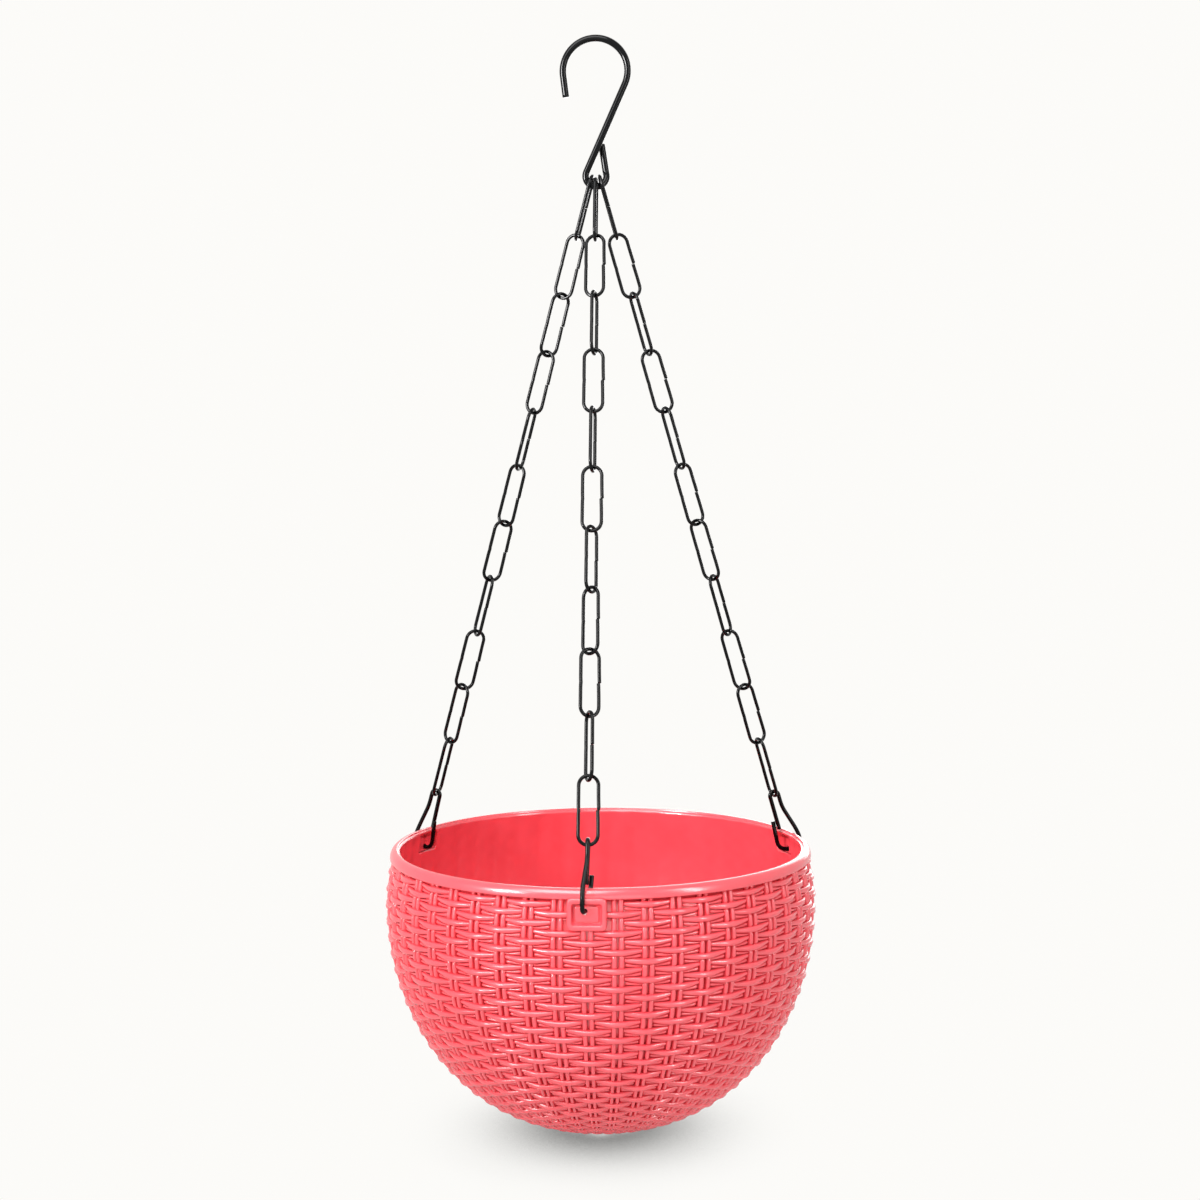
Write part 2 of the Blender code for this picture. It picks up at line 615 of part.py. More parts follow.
def add_basket(material):
    basket = add_object("basket", basket_shell(), material)
    basket.location = (0.0, 0.0, RIM_LEVEL)
    frame_middle = -(FRAME_TOP_DROP + FRAME_HEIGHT / 2)
    block = frame_block(frame_middle)
    hole = box_mesh(
        "hole_cutter",
        (CLIP_HOLE_SHIFT - CLIP_HOLE_WIDTH / 2, -FRAME_FACE_RADIUS - WALL, -CLIP_HOLE_DROP - CLIP_HOLE_HEIGHT / 2),
        (CLIP_HOLE_SHIFT + CLIP_HOLE_WIDTH / 2, -FRAME_BACK_RADIUS + WALL, -CLIP_HOLE_DROP + CLIP_HOLE_HEIGHT / 2),
    )
    recess = box_mesh(
        "recess_cutter",
        (-FRAME_WIDTH / 2, -RECESS_RADIUS, -RECESS_TOP_DROP - RECESS_HEIGHT),
        (FRAME_WIDTH / 2, WALL - RIM_INNER_RADIUS, -RECESS_TOP_DROP),
    )
    steps = (("frame", block, "UNION"), ("recess", recess, "DIFFERENCE"), ("hole", hole, "DIFFERENCE"))
    for name, azimuth_deg in zip(CHAIN_NAMES, CHAIN_AZIMUTHS_DEG):
        for label, data, operation in steps:
            tool = add_tool(f"{name}_{label}_tool", data)
            tool.location = basket.location
            tool.rotation_euler = (0.0, 0.0, math.radians(azimuth_deg))
            combine(basket, tool, operation)
    drains = add_tool("drain_tool", drain_mesh())
    drains.location = basket.location
    combine(basket, drains, "DIFFERENCE")
    return basket


def main():
    for item in list(bpy.data.objects):
        bpy.data.objects.remove(item, do_unlink=True)
    black = make_material("black_wire", BLACK_COATING)
    coral = make_material("coral_plastic", CORAL_PLASTIC)
    add_hook(black)
    link_curve = wire_curve("link_wire", link_points(), LINK_WIRE, LINK_BEVEL_SEGMENTS)
    for name, azimuth_deg in zip(CHAIN_NAMES, CHAIN_AZIMUTHS_DEG):
        add_chain(name, azimuth_deg, link_curve, black)
        add_clip(name, azimuth_deg, black)
    add_basket(coral)


main()
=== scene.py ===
"""Looks of the hanging basket planter: woven-look moulded bowl, wire links, clips and hook.

Metres, Z up, front is -Y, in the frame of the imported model.
"""
import json
import math

import bmesh
import bpy
import numpy as np
from mathutils import Matrix, Vector


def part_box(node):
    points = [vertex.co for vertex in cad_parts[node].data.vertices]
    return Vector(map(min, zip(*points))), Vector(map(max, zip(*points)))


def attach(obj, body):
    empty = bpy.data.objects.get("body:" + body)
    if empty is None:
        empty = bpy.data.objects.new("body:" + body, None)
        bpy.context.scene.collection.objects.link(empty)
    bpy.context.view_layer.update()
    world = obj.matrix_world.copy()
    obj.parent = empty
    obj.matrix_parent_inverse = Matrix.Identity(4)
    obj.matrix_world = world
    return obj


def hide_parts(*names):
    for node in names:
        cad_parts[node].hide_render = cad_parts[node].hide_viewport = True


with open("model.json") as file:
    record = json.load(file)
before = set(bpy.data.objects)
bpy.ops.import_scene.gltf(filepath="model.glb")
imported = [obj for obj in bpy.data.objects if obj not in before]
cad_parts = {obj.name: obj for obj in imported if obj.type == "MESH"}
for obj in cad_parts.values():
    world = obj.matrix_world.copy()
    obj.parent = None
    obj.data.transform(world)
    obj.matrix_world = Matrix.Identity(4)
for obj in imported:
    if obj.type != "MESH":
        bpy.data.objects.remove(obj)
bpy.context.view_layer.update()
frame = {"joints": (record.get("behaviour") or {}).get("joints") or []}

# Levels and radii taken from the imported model
BASKET_LOW, BASKET_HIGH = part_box("basket")
JOINTS = {joint["name"]: joint for joint in frame["joints"]}
RIM_LEVEL = BASKET_HIGH.z
SWING_LEVEL = JOINTS["basket_swing"]["pos_m"][2]

# Bowl
RIM_RADIUS = 0.0975
RIM_EDGE = 0.0028
RIM_EDGE_HEIGHT = 0.0038
RIM_BAND_HEIGHT = 0.0044
RIM_LIP_WIDTH = 0.0035
RIM_LEDGE = 0.0010
RIM_INNER_RADIUS = RIM_RADIUS - RIM_LIP_WIDTH - RIM_LEDGE
RIM_STEP = 0.0010
BOWL_TOP_RADIUS = 0.0972
WAIST_RADIUS = 0.0999
WAIST_DROP = 0.0260
FOOT_HEIGHT = 0.0013
BOWL_DEPTH = RIM_LEVEL - BASKET_LOW.z - FOOT_HEIGHT
BASE_RADIUS = 0.0160
FOOT_RADIUS = 0.0220
FOOT_WIDTH = 0.0030
WALL = 0.0043
BASE_WALL = 0.0023
DRAIN_RADIUS = 0.0030
DRAIN_CIRCLE = 0.0112
DRAIN_COUNT = 6
DRAIN_EDGE = 0.0003
DRAIN_TOOL_DEPTH = 0.012
DRAIN_TOOL_TURN = math.radians(1.7)
BOWL_COLUMNS = 576
DRAIN_SIDES = 38
FLOOR_ROWS = 4
INNER_ROWS = 84
UPPER_ROWS = 18
EDGE_ROWS = 10
OUTER_ROWS = 60
PROFILE_STEPS = 1600
LIP_ROUNDING = 0.00018
FOOT_ROUNDING = 0.0003

# Imprint of the weave on the inside wall: depth, share of the crest, waver by course, fade at the rim
IMPRINT = 0.00024
IMPRINT_CREST = 0.8
IMPRINT_WAVER = 0.35
IMPRINT_FADE_POWER = 6

# Weave: lengths along the bowl's curve, widths as shares of one stake pair's pitch
STAKE_PAIRS = 48
SIDE_CHAIN_PAIRS = 15
COURSE_PITCH = 0.00803
FIRST_COURSE = 0.0185
COURSE_TOP_GAP = 0.0012
COURSE_FOOT_GAP = 0.0008
SECTOR_FIRST_PAIR = {"front": -8, "right": 8, "left": -24}
SECTOR_PAIRS = 16
BURIED_DROP = 9.0
FLOOR_SINK = 0.0030
UNDERSIDE_SINK = 0.0034
CANE_CREST_SINK = 0.00080
CANE_DIP_SINK = 0.00130
CANE_EDGE_DROP = 0.0012
CANE_WIDTH_SHARE = 0.166
CANE_CENTRE_SHARE = 0.1205
CANE_POINTS = 9
CANE_PHASES = np.array([-0.5, -0.36, -0.28, -0.22, -0.17, -0.12, 0.12, 0.17, 0.22, 0.28, 0.36])
CANE_DIP_PHASE = 0.32
CANE_DIP_EASE = 0.15
STRAND_REACH_SHARE = 0.80
STRAND_FLAT_SHARE = 0.10
STRAND_POINTS = 7
STRAND_OFFSETS = np.array([-0.80, -0.795, -0.78, -0.75, -0.69, -0.60, -0.48, -0.36, -0.24, -0.12, 0.0,
                           0.12, 0.24, 0.36, 0.48, 0.60, 0.69, 0.75, 0.78, 0.795, 0.80])
STRAND_TIPS = np.array([0.50, 0.78, 0.94, 0.99] + [1.0] * 13 + [0.99, 0.94, 0.78, 0.50])
STRAND_CREST_SINK = 0.00005
STRAND_END_SINK = 0.00140
STRAND_THICK = 0.00260
STRAND_END_THICK = 0.00185
STRAND_END_RISE = 0.00030
STRAND_EDGE_DROP = 0.0012
RIB_CREST_SINK = 0.00165
RIB_THICK = 0.00165
RIB_END_THICK = 0.00085
RIB_SLOT_GAP = 0.00022
RIB_EDGE_DROP = 0.0008
RIB_FOOT_GAP = 0.0030
CANE_END_TUCK = 0.0005
CANE_LEAST_STEP = 0.0002
CANE_FLATNESS = 1.3
RIB_POINTS = 7
RIB_STEPS = np.array([0.0, 0.15, 0.35, 0.55, 0.75, 0.88, 0.95, 0.985, 1.0])
RIB_TIPS = np.array([1.0, 1.0, 1.0, 1.0, 1.0, 0.98, 0.86, 0.62, 0.35])
RIB_START_SHARE = 0.16
RIB_END_SHARE = 0.765
RELIEF_FADE_RADIUS = 0.070
RELIEF_LEAST = 0.35

# Frames round the clip holes; a pocket's wall goes in shares of its slope and of its depth
FRAME_WIDTH = 0.0166
FRAME_HEIGHT = 0.0138
FRAME_TOP_DROP = 0.0034
FRAME_FACE_RADIUS = 0.0996
FRAME_BACK_RADIUS = 0.0947
FRAME_BACK_SLOPE = 0.13
FRAME_CORNER = 0.0022
FRAME_FILLET = 0.0009
POCKET_WIDTH = 0.0126
POCKET_HEIGHT = 0.0090
POCKET_CORNER = 0.0010
POCKET_DEPTH = 0.0018
POCKET_SLOPE = 0.0007
POCKET_WALL = ((0.8, 0.75), (1.0, 0.94), (1.2, 1.0))
PAD_FOOT = 0.0001
PAD_WIDTH = 0.0102
PAD_HEIGHT = 0.0068
PAD_CORNER = 0.0009
PAD_RISE = 0.0006
PAD_FILLET = 0.00045
FRAME_FILLET_STEPS = 4
PAD_FILLET_STEPS = 3
FRAME_CORNER_POINTS = 7
FRAME_SHARP_ANGLE = math.radians(40)
TOOL_CORNER_POINTS = 6
CLIP_HOLE_DROP = 0.0089
CLIP_HOLE_WIDTH = 0.0027
CLIP_HOLE_HEIGHT = 0.0028
CLIP_HOLE_CORNER = 0.0012
CLIP_HOLE_FALL = 0.0002
HOLE_REACH = 0.012
RECESS_TOP_DROP = 0.0022
RECESS_HEIGHT = 0.0088
RECESS_RADIUS = 0.0956
RECESS_CORNER = 0.0012
RECESS_WIDTH = FRAME_WIDTH - 0.0008
RECESS_COVER = 0.0003
WALL_COVER = 0.0002
RECESS_MARGIN = 0.0008
FRAME_PAIRS = (0, SIDE_CHAIN_PAIRS, -SIDE_CHAIN_PAIRS)
FRAME_TUCK = 0.0010

# Wires
HOOK_WIRE = 0.0031
LINK_WIRE = 0.0016
CLIP_WIRE = 0.0020
CROWN_RADIUS = 0.0147
CROWN_TO_EYE = 0.047
HOOK_TIP_LENGTH = 0.0098
HOOK_TIP_LEAN = math.radians(7.0)
EYE_END_LENGTH = 0.0142
EYE_END_LEAN = math.radians(8.6)
EYE_END_SHIFT = 0.0033
LINK_WIDTH = 0.0100
LINK_SEAT_GAP = 0.0003
LINK_JOINT_GAP = 0.00008
LINK_JOINT_STEP = 0.00022
LINK_KINK = 0.00012
LINK_KINK_REACH = 0.05
LINKS_PER_CHAIN = 11
CHAINS = ("front", "right", "left")
LINK_ROLLS_DEG = {
    "front": (88.0, -14.0, 78.0, 0.0, 80.0, 0.0, 62.0, -37.0, 25.0, -68.0, 0.0),
    "right": (-86.0, 12.0, -67.0, 14.0, -63.0, 31.0, -34.0, 64.0, -29.0, 31.0, -68.0),
    "left": (86.0, -20.0, 36.0, -27.0, 76.0, -30.0, 30.0, -64.0, 22.0, -38.0, 74.0),
}
WIRE_SIDES = {"hook": 24, "clip": 18, "link": 14}
WIRE_END_ROUNDING = 0.14
WIRE_LEAST_STEP = 1e-7
WIRE_FIRST_SIDE = (0.3, 0.5, 0.81)
CROWN_STEPS = 60
HOOK_TIP_STEPS = 6
SHANK_STEPS = 12
EYE_STEPS = 54
EYE_END_STEPS = 8
LINK_BOW_STEPS = 18
LINK_LEG_STEPS = 16
LINK_END_STEPS = 10
SIDE_AZIMUTH = math.tau * SIDE_CHAIN_PAIRS / STAKE_PAIRS
AZIMUTHS = {"front": 0.0, "right": SIDE_AZIMUTH, "left": -SIDE_AZIMUTH}

# Clip profile: radius from the bowl's axis, shift sideways, height over the rim
CLIP_BOW_RADIUS = 0.0022
CLIP_BOW_STEPS = 18
CLIP_LEG_STEPS = 8
CLIP_BEND_STEPS = 8
CLIP_BEND_SHARE = 0.8
CLIP_SHOULDER = 0.0062
CLIP_LEG_END = Vector((0.0910, -0.0006, 0.0006))
CLIP_OVER_RIM = Vector((0.0993, -0.0017, 0.0006))
CLIP_OUTER_TOP = Vector((0.1013, -0.0017, -0.0036))
CLIP_OUTER_CORNER = Vector((0.1013, -0.0017, -0.0090))
CLIP_HOLE_ENTRY = Vector((0.0971, -0.0008, -0.0090))
CLIP_INNER_CORNER = Vector((0.0912, 0.0004, -0.0098))
CLIP_TIP = Vector((0.0886, 0.0016, 0.0042))
CLIP_REACHES = (0.0030, 0.0026, 0.0018, 0.0026, 0.0008, 0.0045)

# Share of an atlas cell that stays free on each side of a tube
CELL_MARGIN = 0.04


def finish_mesh(name, coords, faces, uvs, material):
    """A smooth object: coords (n,3); faces, a list of (m,k) index arrays; uvs, one (m,k,2) array for each."""
    mesh = bpy.data.meshes.new(name)
    loops = np.concatenate([f.ravel() for f in faces]).astype(np.int32)
    totals = np.concatenate([np.full(len(f), f.shape[1]) for f in faces]).astype(np.int32)
    starts = np.concatenate([[0], np.cumsum(totals)[:-1]]).astype(np.int32)
    mesh.vertices.add(len(coords))
    mesh.vertices.foreach_set("co", np.ascontiguousarray(coords, np.float32).ravel())
    mesh.loops.add(len(loops))
    mesh.loops.foreach_set("vertex_index", loops)
    mesh.polygons.add(len(totals))
    mesh.polygons.foreach_set("loop_start", starts)
    mesh.polygons.foreach_set("loop_total", totals)
    mesh.update(calc_edges=True)
    mesh.validate()
    layer = mesh.uv_layers.new(name="OFBake")
    corners = np.concatenate([u.reshape(-1, 2) for u in uvs]).astype(np.float32)
    layer.data.foreach_set("uv", corners.ravel())
    mesh.shade_smooth()
    mesh.materials.append(material)
    made = bpy.data.objects.new(name, mesh)
    bpy.context.scene.collection.objects.link(made)
    return made


def tube_mesh(name, tubes, material):
    """One mesh of closed tubes, each an array (sections, around, 3), with a cell of the atlas for each."""
    cells = math.ceil(math.sqrt(len(tubes)))
    room = 1 - 2 * CELL_MARGIN
    coords, quads, ends, quad_uvs, end_uvs = [], [], [], [], []
    first = 0
    for index, tube in enumerate(tubes):
        sections, around, _ = tube.shape
        s = np.arange(sections - 1)[:, None]
        a = np.arange(around)[None, :]
        b = (a + 1) % around
        quads.append((first + np.stack([s * around + a, s * around + b, (s + 1) * around + b,
                                        (s + 1) * around + a], -1)).reshape(-1, 4))
        low = first + np.arange(around)
        ends.append(np.stack([low[::-1], low + (sections - 1) * around]))
        along = np.stack(np.broadcast_arrays(s, s, s + 1, s + 1), -1)[:, 0] / (sections - 1)
        turn = np.stack(np.broadcast_arrays(a, a + 1, a + 1, a), -1)[0] / around
        corner = np.array([index % cells, index // cells], float)
        spots = np.stack(np.broadcast_arrays(along[:, None, :], turn[None, :, :]), -1)
        quad_uvs.append(((corner + CELL_MARGIN + room * spots) / cells).reshape(-1, 4, 2))
        round_share = np.arange(around) / around
        low_uv = np.stack([0 * round_share, round_share], -1)[::-1]
        high_uv = np.stack([0 * round_share + 1, round_share], -1)
        end_uvs.append((corner + CELL_MARGIN + room * np.stack([low_uv, high_uv])) / cells)
        coords.append(tube.reshape(-1, 3))
        first += sections * around
    return finish_mesh(name, np.concatenate(coords), [np.concatenate(quads), np.concatenate(ends)],
                       [np.concatenate(quad_uvs), np.concatenate(end_uvs)], material)


def clear_of_inside(tubes):
    """Tubes with the backs that would show in the bowl or in a clip's recess moved out into the wall."""
    wall = sorted((height, radius) for radius, height, imprint in bowl_rings() if imprint > 0.0)
    wall_height = np.array([height for height, _ in wall])
    wall_radius = np.array([radius for _, radius in wall]) + WALL_COVER
    limit = RECESS_RADIUS + RECESS_COVER
    top = RIM_LEVEL - RECESS_TOP_DROP + RECESS_MARGIN
    low = RIM_LEVEL - RECESS_TOP_DROP - RECESS_HEIGHT - RECESS_MARGIN
    moved = []
    for tube in tubes:
        tube = np.array(tube, float)
        for azimuth in AZIMUTHS.values():
            outward = np.array([math.sin(azimuth), -math.cos(azimuth), 0.0])
            across = tube[..., 0] * math.cos(azimuth) + tube[..., 1] * math.sin(azimuth)
            reach = tube @ outward
            inside = (np.abs(across) < RECESS_WIDTH / 2 + RECESS_MARGIN) & (reach > 0.0) & (reach < limit)
            inside &= (tube[..., 2] > low) & (tube[..., 2] < top)
            tube += np.where(inside, limit - reach, 0.0)[..., None] * outward
        radius = np.hypot(tube[..., 0], tube[..., 1])
        least = np.interp(tube[..., 2] - RIM_LEVEL, wall_height, wall_radius)
        tube[..., :2] *= np.maximum(least / radius, 1.0)[..., None]
        moved.append(tube)
    return moved


def outer_curve():
    """The bowl's outer curve: length along it, radius, height over the rim and the normal's two parts."""
    shares = np.linspace(-1.0, 1.0, PROFILE_STEPS)
    fall = 1.0 + shares
    quarter = math.pi / 2
    upper_radius = BOWL_TOP_RADIUS + (WAIST_RADIUS - BOWL_TOP_RADIUS) * np.sin(quarter * fall)
    upper_height = -RIM_BAND_HEIGHT - (WAIST_DROP - RIM_BAND_HEIGHT) * fall
    lower_radius = BASE_RADIUS + (WAIST_RADIUS - BASE_RADIUS) * np.cos(quarter * shares)
    lower_height = -WAIST_DROP - (BOWL_DEPTH - WAIST_DROP) * np.sin(quarter * shares)
    radius = np.where(shares < 0.0, upper_radius, lower_radius)
    height = np.where(shares < 0.0, upper_height, lower_height)
    length = np.concatenate([[0.0], np.cumsum(np.hypot(np.diff(radius), np.diff(height)))])
    slope_r = np.gradient(radius, length)
    slope_z = np.gradient(height, length)
    return length, radius, height, -slope_z, slope_r


CURVE_LENGTH, CURVE_RADIUS, CURVE_HEIGHT, NORMAL_R, NORMAL_Z = outer_curve()
LOWER_HALF = slice(PROFILE_STEPS // 2, None)
WOVEN_LENGTH = float(np.interp(-FOOT_RADIUS, -CURVE_RADIUS[LOWER_HALF], CURVE_LENGTH[LOWER_HALF]))
CANE_START_UNDER_FRAME = float(
    np.interp(FRAME_TOP_DROP + FRAME_HEIGHT - FRAME_TUCK, -CURVE_HEIGHT, CURVE_LENGTH))


def relief_scale(along):
    """Share of the full relief: it gets lower where the bowl gets narrow."""
    radius = np.interp(along, CURVE_LENGTH, CURVE_RADIUS)
    return np.clip(radius / RELIEF_FADE_RADIUS, RELIEF_LEAST, 1.0)


def under_crest(along, sink):
    """Radius and height over the rim at a length down the curve and a depth under the crest."""
    depth = sink * relief_scale(along)
    radius = np.interp(along, CURVE_LENGTH, CURVE_RADIUS) - np.interp(along, CURVE_LENGTH, NORMAL_R) * depth
    height = np.interp(along, CURVE_LENGTH, CURVE_HEIGHT) - np.interp(along, CURVE_LENGTH, NORMAL_Z) * depth
    return radius, height


def on_bowl(pair_place, along, sink):
    """World points: place round the bowl in stake pairs, length down the curve, depth under the crest."""
    radius, height = under_crest(np.clip(along, 0.0, CURVE_LENGTH[-1]), sink)
    turn = math.tau * pair_place / STAKE_PAIRS
    spots = np.broadcast_arrays(radius * np.sin(turn), -radius * np.cos(turn), RIM_LEVEL + height)
    return np.stack(spots, -1)


def course_start(pair):
    """Length down the curve of a pair's first course; every other pair is half a course lower."""
    return FIRST_COURSE + np.where(np.asarray(pair) % 2 == 0, 0.0, COURSE_PITCH / 2)


def sector_pairs(sector):
    first = SECTOR_FIRST_PAIR[sector]
    return np.arange(first, first + SECTOR_PAIRS)


def half_round(points):
    """A strand's section: places across its width and drops below its crest, closed under the surface."""
    turn = math.pi * np.arange(points) / (points - 1)
    across = np.concatenate([[-0.5], -0.5 * np.cos(turn), [0.5]])
    drops = np.concatenate([[BURIED_DROP], 1.0 - np.sin(turn), [BURIED_DROP]])
    return across, drops


def strand_thickness(offset):
    """A strand is thickest in the middle of its pair."""
    return STRAND_END_THICK + (STRAND_THICK - STRAND_END_THICK) * np.cos(
        math.pi / 2 * np.clip(np.abs(offset) / STRAND_REACH_SHARE, 0, 1))


def strand_sink(offset):
    """A strand lies flat over its own pair and dips under the next ones."""
    share = np.clip((np.abs(offset) - STRAND_FLAT_SHARE) / (STRAND_REACH_SHARE - STRAND_FLAT_SHARE), 0, 1)
    ease = share * share * (3 - 2 * share)
    return STRAND_CREST_SINK + (STRAND_END_SINK - STRAND_CREST_SINK) * ease


def covered_by_frame(pair, along):
    half = STAKE_PAIRS // 2
    nearest = np.min([np.abs((pair - p + half) % STAKE_PAIRS - half) for p in FRAME_PAIRS], axis=0)
    height = np.interp(along, CURVE_LENGTH, CURVE_HEIGHT)
    return (nearest < 1) & (height > -(FRAME_TOP_DROP + FRAME_HEIGHT))


def course_list(pair, end_gap=COURSE_FOOT_GAP):
    """Lengths down the curve of a pair's courses, without those behind a frame."""
    start = float(course_start(pair))
    start -= COURSE_PITCH * math.floor((start - COURSE_TOP_GAP) / COURSE_PITCH)
    places = np.arange(start, WOVEN_LENGTH - end_gap, COURSE_PITCH)
    return places[~covered_by_frame(np.full(len(places), pair), places)]


def add_strands(sector, material):
    """Strands across two stake pairs, one for each course of a pair, round and tapered at both ends."""
    across, drops = half_round(STRAND_POINTS)
    pairs, places = [], []
    for pair in sector_pairs(sector):
        for place in course_list(pair):
            pairs.append(pair)
            places.append(place)
    pairs = np.array(pairs, float)[:, None, None]
    places = np.array(places)[:, None, None]
    offset = STRAND_OFFSETS[None, :, None]
    tips = STRAND_TIPS[None, :, None]
    thick = strand_thickness(offset)
    rise = STRAND_END_RISE * (offset / STRAND_REACH_SHARE) ** 2
    middle = places - STRAND_THICK / 2 - rise + thick / 2
    along = middle + across[None, None, :] * thick * tips
    height = STRAND_EDGE_DROP * np.sqrt(thick / STRAND_THICK)
    sink = strand_sink(offset) + (1.0 - tips + drops[None, None, :]) * height
    sink = np.minimum(sink, UNDERSIDE_SINK)
    coords = on_bowl(pairs + offset, along, np.broadcast_to(sink, along.shape))
    return tube_mesh(f"basket_strands_{sector}", clear_of_inside(coords), material)


def cane_levels(pair):
    """Lengths down the curve and crest depths of a pair's canes, pressed in under each strand."""
    courses = np.arange(-3, math.ceil(WOVEN_LENGTH / COURSE_PITCH) + 2)
    levels = (float(course_start(pair)) + COURSE_PITCH * (courses[:, None] + CANE_PHASES[None, :])).ravel()
    phases = np.abs(np.tile(CANE_PHASES, len(courses)))
    near = np.clip((CANE_DIP_PHASE - phases) / CANE_DIP_EASE, 0.0, 1.0)
    sinks = CANE_CREST_SINK + (CANE_DIP_SINK - CANE_CREST_SINK) * (1.0 - np.sqrt(1.0 - near * near))
    first = CANE_START_UNDER_FRAME if pair in FRAME_PAIRS else 0.0
    last = WOVEN_LENGTH + CANE_END_TUCK
    keep = (levels > first + CANE_LEAST_STEP) & (levels < last - CANE_LEAST_STEP)
    levels = np.concatenate([[first], levels[keep], [last]])
    sinks = np.concatenate([[CANE_CREST_SINK], sinks[keep], [CANE_CREST_SINK]])
    return levels[:, None], sinks[:, None]


def add_canes(sector, material):
    """Two upright canes for each stake pair."""
    across, drops = half_round(CANE_POINTS)
    tubes = []
    for pair in sector_pairs(sector):
        levels, crests = cane_levels(int(pair))
        sink = np.minimum(crests + drops[None, :] ** CANE_FLATNESS * CANE_EDGE_DROP, UNDERSIDE_SINK)
        for side in (-1.0, 1.0):
            place = pair + side * CANE_CENTRE_SHARE + across[None, :] * CANE_WIDTH_SHARE
            tubes.append(on_bowl(place, levels, sink)[:, ::-1])
    return tube_mesh(f"basket_canes_{sector}", clear_of_inside(tubes), material)


def add_ribs(sector, material):
    """Ribs in the slots between strands: each follows the strand above it, thin by that strand's own pair."""
    across, drops = half_round(RIB_POINTS)
    tubes = []
    for pair in sector_pairs(sector):
        for upper, direction in ((pair, 1.0), (pair + 1, -1.0)):
            order = slice(None, None, int(direction))
            share, tip = RIB_STEPS[order, None], RIB_TIPS[order, None]
            reach = RIB_START_SHARE + (RIB_END_SHARE - RIB_START_SHARE) * share
            thick = RIB_END_THICK + (RIB_THICK - RIB_END_THICK) * share
            rise = STRAND_END_RISE * (reach / STRAND_REACH_SHARE) ** 2
            edge = strand_thickness(reach) - STRAND_THICK / 2 - rise
            for place in course_list(upper, RIB_FOOT_GAP):
                along = place + edge + RIB_SLOT_GAP + thick / 2 + across[None, :] * thick * tip
                sink = RIB_CREST_SINK + (1.0 - tip + drops[None, :]) * RIB_EDGE_DROP
                tubes.append(on_bowl(upper + direction * reach, along, np.minimum(sink, UNDERSIDE_SINK)))
    return tube_mesh(f"basket_ribs_{sector}", clear_of_inside(tubes), material)


def inner_rings():
    """Rings from the middle drain hole over the floor and up the inside wall to the ledge under the lip."""
    quarter = math.pi / 2
    inner_depth = BOWL_DEPTH - BASE_WALL
    rings = [(DRAIN_RADIUS, -inner_depth - DRAIN_EDGE, 0.0), (DRAIN_RADIUS + DRAIN_EDGE, -inner_depth, 0.0)]
    for i in range(1, FLOOR_ROWS):
        rings.append((DRAIN_RADIUS + (BASE_RADIUS - DRAIN_RADIUS) * i / FLOOR_ROWS, -inner_depth, 0.0))
    for i in range(INNER_ROWS, -1, -1):
        turn = quarter * i / INNER_ROWS
        radius = BASE_RADIUS + (WAIST_RADIUS - WALL - BASE_RADIUS) * math.cos(turn)
        rings.append((radius, -WAIST_DROP - (inner_depth - WAIST_DROP) * math.sin(turn), 1.0))
    waist_inner = WAIST_RADIUS - WALL
    for i in range(1, UPPER_ROWS + 1):
        share = i / UPPER_ROWS
        radius = waist_inner + (RIM_INNER_RADIUS - waist_inner) * (1 - math.cos(quarter * share))
        height = -WAIST_DROP + (WAIST_DROP - RIM_STEP) * share
        rings.append((radius, height, 1.0 - share ** IMPRINT_FADE_POWER))
    return rings


def rim_rings():
    """Rings over the ledge, up the lip, over the rim's round edge and down to the band's lower corner."""
    lip = RIM_RADIUS - RIM_LIP_WIDTH
    soft = LIP_ROUNDING
    rings = [(RIM_INNER_RADIUS + soft, -RIM_STEP + soft * 0.2), (lip - soft, -RIM_STEP + soft * 0.2),
             (lip, -RIM_STEP + soft), (lip, -2 * soft), (lip + 0.6 * soft, -0.6 * soft),
             (lip + 2 * soft, 0.0)]
    for i in range(EDGE_ROWS + 1):
        turn = math.pi / 2 * i / EDGE_ROWS
        rings.append((RIM_RADIUS - RIM_EDGE * (1 - math.sin(turn)), -RIM_EDGE_HEIGHT * (1 - math.cos(turn))))
    rings += [(RIM_RADIUS, -RIM_BAND_HEIGHT + 2 * soft),
              (RIM_RADIUS - 0.5 * soft, -RIM_BAND_HEIGHT + 0.5 * soft),
              (RIM_RADIUS - 2 * soft, -RIM_BAND_HEIGHT)]
    return [(radius, height, 0.0) for radius, height in rings]


def bowl_rings():
    """(radius, height, imprint) of the shell from the middle drain hole over the rim to under the foot."""
    floor = []
    for along in np.linspace(0.0, WOVEN_LENGTH, OUTER_ROWS):
        radius, height = under_crest(along, FLOOR_SINK)
        floor.append((float(radius), float(height), 0.0))
    foot_low = -BOWL_DEPTH - FOOT_HEIGHT
    foot_inner = FOOT_RADIUS - FOOT_WIDTH
    soft = FOOT_ROUNDING
    foot = [(FOOT_RADIUS, -BOWL_DEPTH, 0.0), (FOOT_RADIUS, foot_low + soft, 0.0),
            (FOOT_RADIUS - soft, foot_low, 0.0),
            (foot_inner + soft, foot_low, 0.0), (foot_inner, foot_low + soft, 0.0),
            (foot_inner, -BOWL_DEPTH, 0.0),
            (foot_inner / 2, -BOWL_DEPTH, 0.0), (DRAIN_RADIUS + DRAIN_EDGE, -BOWL_DEPTH, 0.0),
            (DRAIN_RADIUS, -BOWL_DEPTH + DRAIN_EDGE, 0.0)]
    return inner_rings() + rim_rings() + floor + foot


